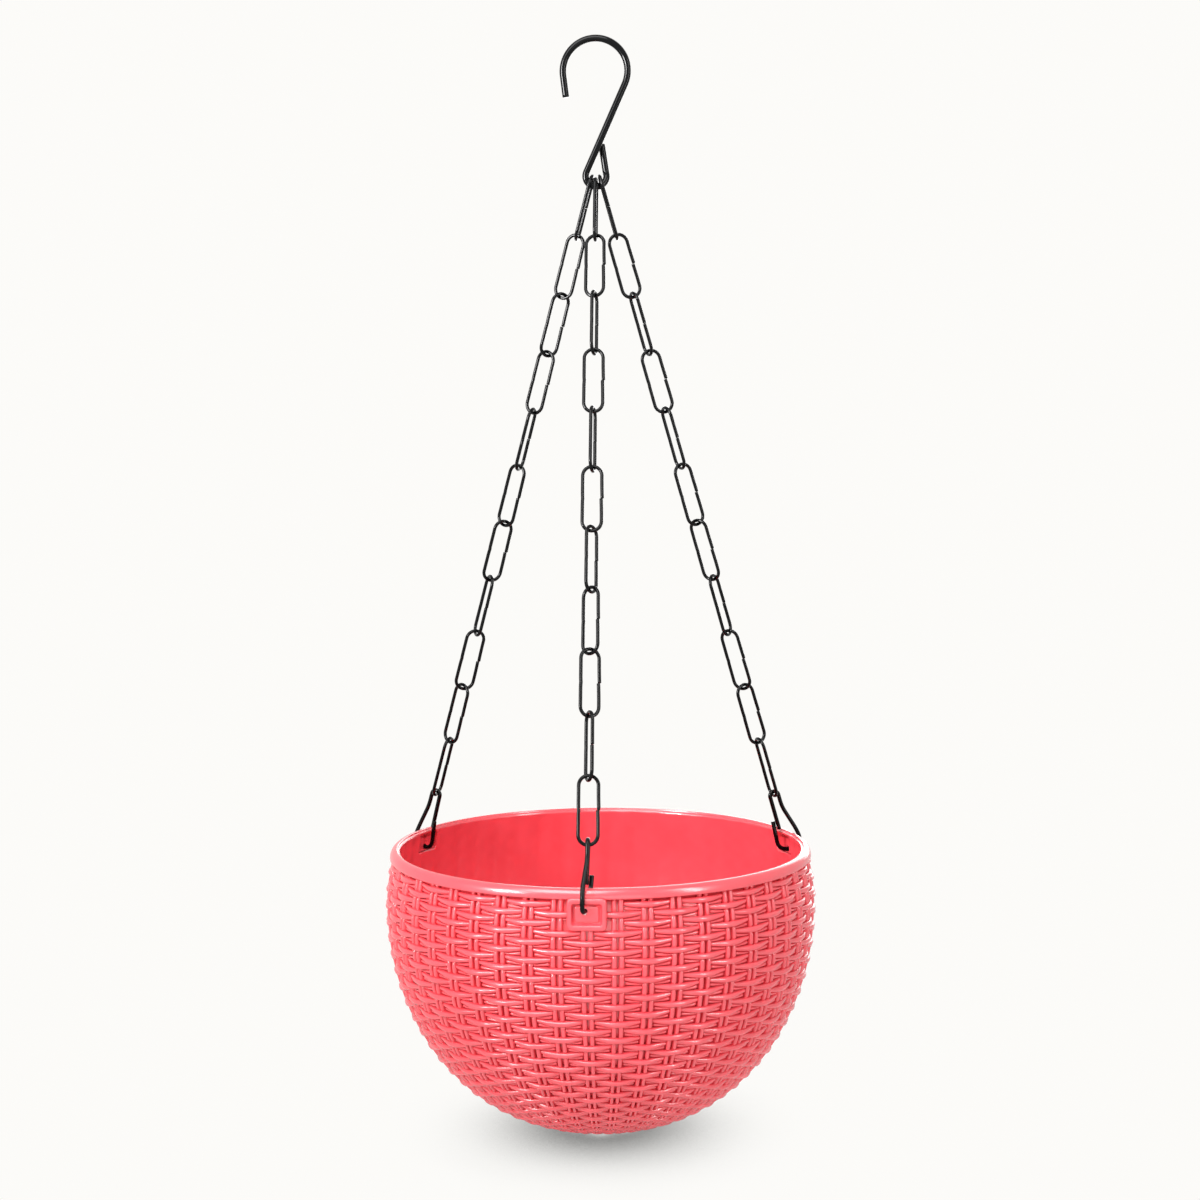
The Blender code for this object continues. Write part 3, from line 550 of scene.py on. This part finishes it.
def add_bowl(material):
    """The shell with the drain holes and the recesses behind the frames cut out of it."""
    rings = bowl_rings()
    turn = math.tau * np.arange(BOWL_COLUMNS) / BOWL_COLUMNS
    radius = np.array([r for r, _, _ in rings])[:, None]
    height = np.array([h for _, h, _ in rings])[:, None]
    imprint = np.array([p for _, _, p in rings])[:, None]
    pair_turn = turn[None, :] * STAKE_PAIRS
    course = height / COURSE_PITCH * math.tau
    wave = np.cos(pair_turn) + IMPRINT_WAVER * np.sin(pair_turn) * np.sin(course) - IMPRINT_CREST
    pressed = radius + imprint * IMPRINT * wave * np.clip(radius / RELIEF_FADE_RADIUS, 0, 1)
    coords = np.stack(np.broadcast_arrays(pressed * np.sin(turn)[None, :], -pressed * np.cos(turn)[None, :],
                                          RIM_LEVEL + height), -1)
    ring_count = len(rings)
    i = np.arange(ring_count)[:, None]
    after = (i + 1) % ring_count
    a = np.arange(BOWL_COLUMNS)[None, :]
    b = (a + 1) % BOWL_COLUMNS
    quads = np.stack([i * BOWL_COLUMNS + a, i * BOWL_COLUMNS + b, after * BOWL_COLUMNS + b,
                      after * BOWL_COLUMNS + a], -1).reshape(-1, 4)
    steps = np.hypot(np.diff(radius[:, 0], append=radius[0, 0]), np.diff(height[:, 0], append=height[0, 0]))
    lengths = np.concatenate([[0.0], np.cumsum(steps)])
    v = lengths / lengths[-1]
    across = np.stack([a, a + 1, a + 1, a], -1) / BOWL_COLUMNS
    along = np.stack([v[i], v[i], v[i + 1], v[i + 1]], -1)
    uv = np.stack(np.broadcast_arrays(across, along), -1).reshape(-1, 4, 2)
    bowl = finish_mesh("basket_bowl", coords.reshape(-1, 3), [quads[:, ::-1]], [uv[:, ::-1]], material)
    cut(bowl, [recess_tool(name) for name in CHAINS] + [drain_tool()])
    return bowl


def tool_object(name, mesh):
    """An object from a bmesh, which is freed."""
    data = bpy.data.meshes.new(name)
    mesh.to_mesh(data)
    mesh.free()
    made = bpy.data.objects.new(name, data)
    bpy.context.scene.collection.objects.link(made)
    return made


def drain_tool():
    """One mesh of the cylinders that open the ring of drain holes."""
    mesh = bmesh.new()
    for k in range(DRAIN_COUNT):
        angle = math.tau * k / DRAIN_COUNT
        middle = (DRAIN_CIRCLE * math.sin(angle), DRAIN_CIRCLE * math.cos(angle), RIM_LEVEL - BOWL_DEPTH)
        place = Matrix.Translation(middle) @ Matrix.Rotation(DRAIN_TOOL_TURN, 4, "Z")
        bmesh.ops.create_cone(mesh, cap_ends=True, segments=DRAIN_SIDES, radius1=DRAIN_RADIUS,
                              radius2=DRAIN_RADIUS, depth=DRAIN_TOOL_DEPTH, matrix=place)
    bmesh.ops.recalc_face_normals(mesh, faces=mesh.faces)
    return tool_object("drain_tool", mesh)


def turn_to_chain(mesh, name):
    bmesh.ops.recalc_face_normals(mesh, faces=mesh.faces)
    bmesh.ops.transform(mesh, matrix=Matrix.Rotation(AZIMUTHS[name], 4, "Z"), verts=mesh.verts)


def window_tool(name, width, height, corner, shifts, level, radii):
    """A block with round corners at one chain's place, between two radii, each with its shift sideways."""
    mesh = bmesh.new()
    outline = rounded_outline(width, height, corner, TOOL_CORNER_POINTS)
    rings = [[mesh.verts.new((shift + x, -radius, level + z)) for x, z in outline]
             for shift, radius in zip(shifts, radii)]
    mesh.faces.new(rings[0])
    mesh.faces.new(rings[1][::-1])
    for i in range(len(outline)):
        j = (i + 1) % len(outline)
        mesh.faces.new((rings[0][i], rings[1][i], rings[1][j], rings[0][j]))
    turn_to_chain(mesh, name)
    return tool_object("window_tool", mesh)


def hole_tool(name):
    """The clip's hole through a frame, slanted as the clip's wire goes."""
    slope = (CLIP_HOLE_ENTRY.y - CLIP_OUTER_CORNER.y) / (CLIP_HOLE_ENTRY.x - CLIP_OUTER_CORNER.x)
    radii = (RIM_RADIUS - HOLE_REACH, RIM_RADIUS + HOLE_REACH)
    shifts = [CLIP_HOLE_ENTRY.y + slope * (radius - CLIP_HOLE_ENTRY.x) for radius in radii]
    return window_tool(name, CLIP_HOLE_WIDTH, CLIP_HOLE_HEIGHT, CLIP_HOLE_CORNER, shifts,
                       RIM_LEVEL - CLIP_HOLE_DROP - CLIP_HOLE_FALL, radii)


def recess_tool(name):
    """The recess in the inside wall behind a frame."""
    return window_tool(name, RECESS_WIDTH, RECESS_HEIGHT, RECESS_CORNER, (0.0, 0.0),
                       RIM_LEVEL - RECESS_TOP_DROP - RECESS_HEIGHT / 2,
                       (RIM_RADIUS - HOLE_REACH, RECESS_RADIUS))


def cut(target, tools):
    """Takes the tools' shapes out of the target, then the tools out of the scene."""
    for tool in tools:
        step = target.modifiers.new(tool.name, "BOOLEAN")
        step.operation = "DIFFERENCE"
        step.solver = "EXACT"
        step.object = tool
    graph = bpy.context.evaluated_depsgraph_get()
    done = bpy.data.meshes.new_from_object(target.evaluated_get(graph))
    target.modifiers.clear()
    target.data = done
    for tool in tools:
        bpy.data.objects.remove(tool, do_unlink=True)


def rounded_outline(width, height, corner, points):
    """A rectangle round its middle, with the same number of points in each round corner."""
    outline = []
    for quadrant, (side_x, side_z) in enumerate(((1, 1), (-1, 1), (-1, -1), (1, -1))):
        for i in range(points):
            turn = math.pi / 2 * (quadrant + i / (points - 1))
            outline.append((side_x * (width / 2 - corner) + corner * math.cos(turn),
                            side_z * (height / 2 - corner) + corner * math.sin(turn)))
    return outline


def frame_layers():
    """Outline size, corner and radius of each ring of a frame, from its back to the pad's face."""
    face = FRAME_FACE_RADIUS
    floor = face - POCKET_DEPTH
    layers = [(FRAME_WIDTH, FRAME_HEIGHT, FRAME_CORNER, FRAME_BACK_RADIUS)]
    for i in range(FRAME_FILLET_STEPS + 1):
        turn = math.pi / 2 * i / FRAME_FILLET_STEPS
        inset = 2 * FRAME_FILLET * (1 - math.cos(turn))
        layers.append((FRAME_WIDTH - inset, FRAME_HEIGHT - inset, FRAME_CORNER - inset / 2,
                       face - FRAME_FILLET + FRAME_FILLET * math.sin(turn)))
    for i in range(PAD_FILLET_STEPS + 1):
        turn = math.pi / 2 * i / PAD_FILLET_STEPS
        grow = 2 * PAD_FILLET * (1 - math.sin(turn))
        layers.append((POCKET_WIDTH + grow, POCKET_HEIGHT + grow, POCKET_CORNER + grow / 2,
                       face - PAD_FILLET * (1 - math.cos(turn))))
    for share, sink in POCKET_WALL:
        inset = 2 * POCKET_SLOPE * share
        layers.append((POCKET_WIDTH - inset, POCKET_HEIGHT - inset, POCKET_CORNER,
                       face - POCKET_DEPTH * sink))
    layers.append((PAD_WIDTH + PAD_FOOT, PAD_HEIGHT + PAD_FOOT, PAD_CORNER, floor))
    for i in range(PAD_FILLET_STEPS + 1):
        turn = math.pi / 2 * i / PAD_FILLET_STEPS
        inset = 2 * PAD_FILLET * (1 - math.cos(turn))
        layers.append((PAD_WIDTH - inset, PAD_HEIGHT - inset, PAD_CORNER,
                       floor + PAD_RISE - PAD_FILLET + PAD_FILLET * math.sin(turn)))
    return layers


def add_frame(name, material):
    """A raised frame with its pocket, pad and clip hole; its back leans with the bowl's wall."""
    mesh = bmesh.new()
    middle = RIM_LEVEL - FRAME_TOP_DROP - FRAME_HEIGHT / 2
    rings = []
    for width, height, corner, radius in frame_layers():
        outline = rounded_outline(width, height, corner, FRAME_CORNER_POINTS)
        rings.append([mesh.verts.new((x, -radius, middle + z)) for x, z in outline])
    for corner in rings[0]:
        corner.co.y += FRAME_BACK_SLOPE * (corner.co.z - middle)
    for back, front in zip(rings, rings[1:]):
        for i in range(len(back)):
            j = (i + 1) % len(back)
            mesh.faces.new((back[i], back[j], front[j], front[i]))
    mesh.faces.new(rings[0][::-1])
    mesh.faces.new(rings[-1])
    turn_to_chain(mesh, name)
    made = tool_object(f"basket_{name}_frame", mesh)
    made.data.materials.append(material)
    cut(made, [recess_tool(name), hole_tool(name)])
    made.data.shade_smooth()
    made.data.set_sharp_from_angle(angle=FRAME_SHARP_ANGLE)
    return made


# Wires
def sweep(name, points, wire, material, sides):
    """A round wire along the points, its ends cut square with a small rounding."""
    points = np.array([tuple(p) for p in points], float)
    steps = np.linalg.norm(np.diff(points, axis=0), axis=1)
    points = points[np.concatenate([[True], steps > WIRE_LEAST_STEP])]
    tangent = np.gradient(points, axis=0)
    tangent /= np.linalg.norm(tangent, axis=1)[:, None]
    side = np.cross(tangent[0], WIRE_FIRST_SIDE)
    side /= np.linalg.norm(side)
    soft = wire * WIRE_END_ROUNDING
    end_sizes = [1.0 - 2 * soft / wire, 1.0 - 0.6 * soft / wire, 1.0]
    centres = [points[0], points[0] + tangent[0] * soft * 0.3, points[0] + tangent[0] * soft]
    centres += list(points[1:-1])
    centres += [points[-1] - tangent[-1] * soft, points[-1] - tangent[-1] * soft * 0.3, points[-1]]
    sizes = end_sizes + [1.0] * (len(points) - 2) + end_sizes[::-1]
    frames = [tangent[0]] * 3 + list(tangent[1:-1]) + [tangent[-1]] * 3
    rings = []
    turn = math.tau * np.arange(sides) / sides
    for centre, size, t in zip(centres, sizes, frames):
        side = side - t * np.dot(side, t)
        side /= np.linalg.norm(side)
        other = np.cross(t, side)
        circle = np.cos(turn)[:, None] * side + np.sin(turn)[:, None] * other
        rings.append(centre + circle * (wire / 2 * size))
    return tube_mesh(name, [np.array(rings)], material)


def arc(centre, radius, first, last, steps):
    turns = [first + (last - first) * i / steps for i in range(steps + 1)]
    return [Vector((centre[0] + radius * math.cos(turn), 0.0, centre[1] + radius * math.sin(turn)))
            for turn in turns]


def hook_path():
    crown_level = HOOK_WIRE / 2 - CROWN_RADIUS
    eye_level = crown_level - CROWN_TO_EYE
    eye_radius = eye_level - SWING_LEVEL
    lean = math.asin((CROWN_RADIUS + eye_radius) / CROWN_TO_EYE)
    crown = arc((0.0, crown_level), CROWN_RADIUS, math.pi + HOOK_TIP_LEAN, -lean, CROWN_STEPS)
    tip = crown[0] + Vector((math.sin(HOOK_TIP_LEAN), 0.0, -math.cos(HOOK_TIP_LEAN))) * HOOK_TIP_LENGTH
    eye = arc((0.0, eye_level), eye_radius, math.pi - lean, math.tau + EYE_END_LEAN, EYE_STEPS)
    end = eye[-1] + Vector((-math.sin(EYE_END_LEAN), 0.0, math.cos(EYE_END_LEAN))) * EYE_END_LENGTH
    start = [tip.lerp(crown[0], i / HOOK_TIP_STEPS) for i in range(HOOK_TIP_STEPS)]
    shank = [crown[-1].lerp(eye[0], i / SHANK_STEPS) for i in range(1, SHANK_STEPS)]
    loop = eye + [eye[-1].lerp(end, i / EYE_END_STEPS) for i in range(1, EYE_END_STEPS + 1)]
    half = len(loop) // 2
    for i in range(half, len(loop)):
        share = (i - half) / (len(loop) - 1 - half)
        loop[i].y = EYE_END_SHIFT * share
    return start + crown + shank + loop


def link_path(drop):
    """A link's wire from one end at its open joint round to the other, hung from its upper bow."""
    half = (LINK_WIDTH - LINK_WIRE) / 2
    middle = -drop / 2
    top = arc((0.0, -half), half, 0.0, math.pi, LINK_BOW_STEPS)
    low = arc((0.0, -drop + half), half, math.pi, math.tau, LINK_BOW_STEPS)
    leg = drop - 2 * half
    left = []
    for i in range(1, LINK_LEG_STEPS):
        share = i / LINK_LEG_STEPS
        kink = LINK_KINK * math.exp(-((share - 0.5) / LINK_KINK_REACH) ** 2)
        left.append(Vector((-half + kink, 0.0, -half - leg * share)))
    upper_end = Vector((half + LINK_JOINT_STEP, 0.0, middle + LINK_JOINT_GAP / 2))
    lower_end = Vector((half - LINK_JOINT_STEP, 0.0, middle - LINK_JOINT_GAP / 2))
    steps = LINK_END_STEPS
    start = [upper_end.lerp(top[0], i / steps) for i in range(steps)]
    for i, p in enumerate(start):
        p.x = half + LINK_JOINT_STEP * (1 - i / steps) ** 2
    end = [low[-1].lerp(lower_end, i / steps) for i in range(1, steps + 1)]
    for i, p in enumerate(end):
        p.x = half - LINK_JOINT_STEP * ((i + 1) / steps) ** 2
    return start + top + left + low + end


def roll_frame(origin, up, roll):
    """Places a flat wire at the origin, along the line of a chain, rolled about it by degrees."""
    across = up.cross(Vector((0.0, 1.0, 0.0))).normalized() * -1.0
    width = Matrix.Rotation(math.radians(roll), 3, up) @ across
    depth = up.cross(width)
    return Matrix.Translation(origin) @ Matrix((width, depth, up)).transposed().to_4x4()


def joint_place(name):
    joint = JOINTS[name]
    return Vector(joint["pos_m"]), Vector(joint["axis"]).normalized()


def link_drop():
    """A link's outer length over its wire: the longest chain's pitch, the wire and the gap of the seat."""
    pitches = []
    for chain in CHAINS:
        first, _ = joint_place(f"{chain}_link_01_twist")
        second, _ = joint_place(f"{chain}_link_02_twist")
        pitches.append((second - first).length)
    return max(pitches) + LINK_WIRE + LINK_SEAT_GAP


def add_link(chain, number, drop, material):
    origin, up = joint_place(f"{chain}_link_{number:02d}_twist")
    place = roll_frame(origin, up, LINK_ROLLS_DEG[chain][number - 1])
    points = [place @ point for point in link_path(drop)]
    return sweep(f"{chain}_link_wire_{number:02d}", points, LINK_WIRE, material, WIRE_SIDES["link"])


def bend(before, corner, after, reach):
    """Points of a soft bend round a corner, no longer than a share of the legs beside it."""
    first, last = [corner + leg.normalized() * min(reach, leg.length * CLIP_BEND_SHARE)
                   for leg in (before - corner, after - corner)]
    points = []
    for i in range(CLIP_BEND_STEPS + 1):
        share = i / CLIP_BEND_STEPS
        points.append(first.lerp(corner, share).lerp(corner.lerp(last, share), share))
    return points


def clip_path(chain):
    """A clip's wire: from inside the bowl up over the last link, down outside and back through the hole."""
    crown, up = joint_place(f"{chain}_clip_twist")
    radius = math.hypot(crown.x, crown.y)
    slope = math.hypot(up.x, up.y)
    down = Vector((slope, 0.0, -up.z))
    side = Vector((-down.z, 0.0, down.x))
    top = Vector((radius, 0.0, crown.z - RIM_LEVEL))
    centre = top + down * CLIP_BOW_RADIUS
    bow = []
    for i in range(CLIP_BOW_STEPS + 1):
        turn = math.pi * i / CLIP_BOW_STEPS
        bow.append(centre + (side * (-math.cos(turn)) - down * math.sin(turn)) * CLIP_BOW_RADIUS)
    corners = [bow[-1], bow[-1] + down * CLIP_SHOULDER, CLIP_OVER_RIM, CLIP_OUTER_TOP, CLIP_OUTER_CORNER,
               CLIP_HOLE_ENTRY, CLIP_INNER_CORNER, CLIP_TIP]
    path = [CLIP_LEG_END.lerp(bow[0], i / CLIP_LEG_STEPS) for i in range(CLIP_LEG_STEPS)] + bow
    for index, reach in enumerate(CLIP_REACHES):
        path += bend(corners[index], corners[index + 1], corners[index + 2], reach)
    path += [CLIP_TIP]
    turn = Matrix.Rotation(AZIMUTHS[chain] - math.pi / 2, 4, "Z")
    return [turn @ Vector((p.x, p.y, p.z + RIM_LEVEL)) for p in path]


# Materials: scales of blotches and grain, range of roughness, strength of bump
CORAL_LOOK = {"colour": (0.84, 0.078, 0.102), "deep": (0.81, 0.066, 0.088), "blotch": 60.0, "grain": 2600.0,
              "roughness": (0.19, 0.25), "bump": 0.12, "specular": 1.00}
WIRE_LOOK = {"colour": (0.0004, 0.0005, 0.0007), "deep": (0.0012, 0.0014, 0.0018), "blotch": 120.0,
             "grain": 120.0, "roughness": (0.08, 0.12), "bump": 0.04, "specular": 0.17}
BUMP_DISTANCE = 0.0001
NOISE_DETAIL = 2.0
NOISE_ROUGHNESS = 0.5


def new_material(name):
    made = bpy.data.materials.new(name)
    made.use_nodes = True
    tree = made.node_tree
    return made, tree, tree.nodes["Principled BSDF"]


def noise(tree, scale):
    node = tree.nodes.new("ShaderNodeTexNoise")
    node.inputs["Scale"].default_value = scale
    node.inputs["Detail"].default_value = NOISE_DETAIL
    node.inputs["Roughness"].default_value = NOISE_ROUGHNESS
    place = tree.nodes.new("ShaderNodeTexCoord")
    tree.links.new(place.outputs["Object"], node.inputs["Vector"])
    return node


def spread(tree, source, low, high, from_low=0.3, from_high=0.7):
    """The source's range from from_low to from_high as low to high; without them, a noise's usual range."""
    node = tree.nodes.new("ShaderNodeMapRange")
    node.inputs["From Min"].default_value = from_low
    node.inputs["From Max"].default_value = from_high
    node.inputs["To Min"].default_value = low
    node.inputs["To Max"].default_value = high
    tree.links.new(source, node.inputs["Value"])
    return node.outputs["Result"]


def coated(name, look):
    """A glossy coat in two close colours, with a fine grain in its roughness and bump."""
    made, tree, shader = new_material(name)
    blotch = noise(tree, look["blotch"])
    mix = tree.nodes.new("ShaderNodeMix")
    mix.data_type = "RGBA"
    mix.inputs["A"].default_value = (*look["colour"], 1.0)
    mix.inputs["B"].default_value = (*look["deep"], 1.0)
    tree.links.new(spread(tree, blotch.outputs["Fac"], 0.0, 1.0), mix.inputs["Factor"])
    tree.links.new(mix.outputs["Result"], shader.inputs["Base Color"])
    grain = noise(tree, look["grain"])
    tree.links.new(spread(tree, grain.outputs["Fac"], *look["roughness"]), shader.inputs["Roughness"])
    bump = tree.nodes.new("ShaderNodeBump")
    bump.inputs["Strength"].default_value = look["bump"]
    bump.inputs["Distance"].default_value = BUMP_DISTANCE
    tree.links.new(grain.outputs["Fac"], bump.inputs["Height"])
    tree.links.new(bump.outputs["Normal"], shader.inputs["Normal"])
    shader.inputs["Specular IOR Level"].default_value = look["specular"]
    return made


def dress_basket():
    coral = coated("coral_plastic", CORAL_LOOK)
    bowl = add_bowl(coral)
    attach(bowl, "basket")
    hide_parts("basket")
    made = []
    for sector in CHAINS:
        made += [add_canes(sector, coral), add_strands(sector, coral), add_ribs(sector, coral),
                 add_frame(sector, coral)]
    for item in made:
        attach(item, "basket")


def dress_wires():
    black = coated("black_coated_wire", WIRE_LOOK)
    hook = sweep("hook_wire", hook_path(), HOOK_WIRE, black, WIRE_SIDES["hook"])
    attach(hook, "hook")
    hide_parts("hanging_hook")
    drop = link_drop()
    for chain in CHAINS:
        for number in range(1, LINKS_PER_CHAIN + 1):
            link = add_link(chain, number, drop, black)
            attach(link, f"{chain}_link_{number:02d}")
            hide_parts(f"{chain}_chain_link_{number:02d}")
        clip = sweep(f"{chain}_clip_wire", clip_path(chain), CLIP_WIRE, black, WIRE_SIDES["clip"])
        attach(clip, f"{chain}_clip")
        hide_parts(f"{chain}_rim_clip")


# Camera, floor and lights; a lamp has its name, place, size, power, target and beam
CAMERA_PLACE = Vector((0.0513, -0.8662, -0.1953))
CAMERA_YAW = math.radians(3.351)
CAMERA_PITCH = math.radians(3.834)
CAMERA_ROLL = math.radians(-0.380)
CAMERA_CLIP_START = 0.01
FOCAL_PIXELS = 1883.1
PHOTO_PIXELS = 1200
SENSOR_WIDTH = 36.0
FLOOR_GAP = 0.004
FLOOR_SIZE = 3.0
FLOOR_COLOUR = (0.80, 0.795, 0.785, 1.0)
BACKDROP_COLOUR = (0.974, 0.965, 0.943, 1.0)
FLOOR_ROUGHNESS = 0.9
SHADE_SAMPLES = 16
SHADE_REACH = 0.085
SHADE_CLEAR = 0.66
SHADE_POWER = 2.5
WORLD_FILL = 0.18
BOWL_MIDDLE = (0.0, 0.0, -0.40)
OPEN_BEAM = math.pi
LAMPS = (
    ("top_light", (-0.28, -0.78, 0.68), (0.80, 0.90), 15.5, BOWL_MIDDLE, OPEN_BEAM),
    ("left_light", (-0.85, -0.75, 0.00), (0.06, 0.90), 2.4, BOWL_MIDDLE, OPEN_BEAM),
    ("right_light", (0.85, -0.65, 0.10), (0.10, 0.80), 5.0, BOWL_MIDDLE, OPEN_BEAM),
    ("front_light", (0.15, -1.20, -0.35), (0.80, 0.40), 1.2, BOWL_MIDDLE, OPEN_BEAM),
    ("back_light", (0.25, 1.15, -0.05), (0.90, 0.70), 7.0, BOWL_MIDDLE, OPEN_BEAM),
    ("wire_light", (-0.72, -0.68, 0.16), (0.22, 0.60), 4.5, (0.0, 0.0, 0.16), math.radians(60.0)),
)


def add_camera():
    data = bpy.data.cameras.new("photo_camera")
    data.sensor_width = SENSOR_WIDTH
    data.lens = FOCAL_PIXELS * SENSOR_WIDTH / PHOTO_PIXELS
    data.clip_start = CAMERA_CLIP_START
    camera = bpy.data.objects.new("photo_camera", data)
    turn = (Matrix.Rotation(CAMERA_YAW, 4, "Z") @ Matrix.Rotation(math.pi / 2 - CAMERA_PITCH, 4, "X")
            @ Matrix.Rotation(CAMERA_ROLL, 4, "Z"))
    camera.matrix_world = Matrix.Translation(CAMERA_PLACE) @ turn
    bpy.context.scene.collection.objects.link(camera)
    bpy.context.scene.camera = camera


def seen_share(tree):
    """1 for camera, glossy and transmission rays, 0 for the rays that light the object."""
    path = tree.nodes.new("ShaderNodeLightPath")
    share = path.outputs["Is Camera Ray"]
    for ray in ("Is Glossy Ray", "Is Transmission Ray"):
        larger = tree.nodes.new("ShaderNodeMath")
        larger.operation = "MAXIMUM"
        tree.links.new(share, larger.inputs[0])
        tree.links.new(path.outputs[ray], larger.inputs[1])
        share = larger.outputs[0]
    return share


def floor_material():
    """Diffuse for the light; for the eye the backdrop's colour, with a shade under the object."""
    made, tree, shader = new_material("pale_floor")
    shader.inputs["Base Color"].default_value = FLOOR_COLOUR
    shader.inputs["Roughness"].default_value = FLOOR_ROUGHNESS
    shader.inputs["Specular IOR Level"].default_value = 0.0
    backdrop = tree.nodes.new("ShaderNodeEmission")
    backdrop.inputs["Color"].default_value = BACKDROP_COLOUR
    shade = tree.nodes.new("ShaderNodeAmbientOcclusion")
    shade.samples = SHADE_SAMPLES
    shade.inputs["Distance"].default_value = SHADE_REACH
    depth = tree.nodes.new("ShaderNodeMath")
    depth.operation = "POWER"
    tree.links.new(spread(tree, shade.outputs["AO"], 1.0, 0.0, 0.0, SHADE_CLEAR), depth.inputs[0])
    depth.inputs[1].default_value = SHADE_POWER
    tree.links.new(spread(tree, depth.outputs[0], 1.0, 0.0, 0.0, 1.0), backdrop.inputs["Strength"])
    mix = tree.nodes.new("ShaderNodeMixShader")
    tree.links.new(seen_share(tree), mix.inputs["Fac"])
    tree.links.new(shader.outputs["BSDF"], mix.inputs[1])
    tree.links.new(backdrop.outputs["Emission"], mix.inputs[2])
    tree.links.new(mix.outputs["Shader"], tree.nodes["Material Output"].inputs["Surface"])
    return made


def add_floor():
    mesh = bmesh.new()
    bmesh.ops.create_grid(mesh, x_segments=1, y_segments=1, size=FLOOR_SIZE)
    floor = tool_object("studio_floor", mesh)
    floor.location = (0.0, 0.0, BASKET_LOW.z - FLOOR_GAP)
    floor.data.materials.append(floor_material())


def add_area(name, place, size, power, target, beam):
    data = bpy.data.lights.new(name, "AREA")
    data.shape = "RECTANGLE"
    data.size, data.size_y = size
    data.energy = power
    data.spread = beam
    lamp = bpy.data.objects.new(name, data)
    lamp.location = place
    lamp.rotation_euler = (Vector(target) - Vector(place)).to_track_quat("-Z", "Y").to_euler()
    bpy.context.scene.collection.objects.link(lamp)


def add_light():
    """The world is dim for the light and bright for the eye, and the lamps do the rest."""
    world = bpy.data.worlds.new("studio")
    bpy.context.scene.world = world
    world.use_nodes = True
    tree = world.node_tree
    back = tree.nodes["Background"]
    strength = tree.nodes.new("ShaderNodeMapRange")
    strength.inputs["To Min"].default_value = WORLD_FILL
    strength.inputs["To Max"].default_value = 1.0
    tree.links.new(seen_share(tree), strength.inputs["Value"])
    tree.links.new(strength.outputs["Result"], back.inputs["Strength"])
    back.inputs["Color"].default_value = BACKDROP_COLOUR
    for lamp in LAMPS:
        add_area(*lamp)


dress_basket()
dress_wires()
add_camera()
add_floor()
add_light()
bpy.context.scene.view_settings.view_transform = "Standard"
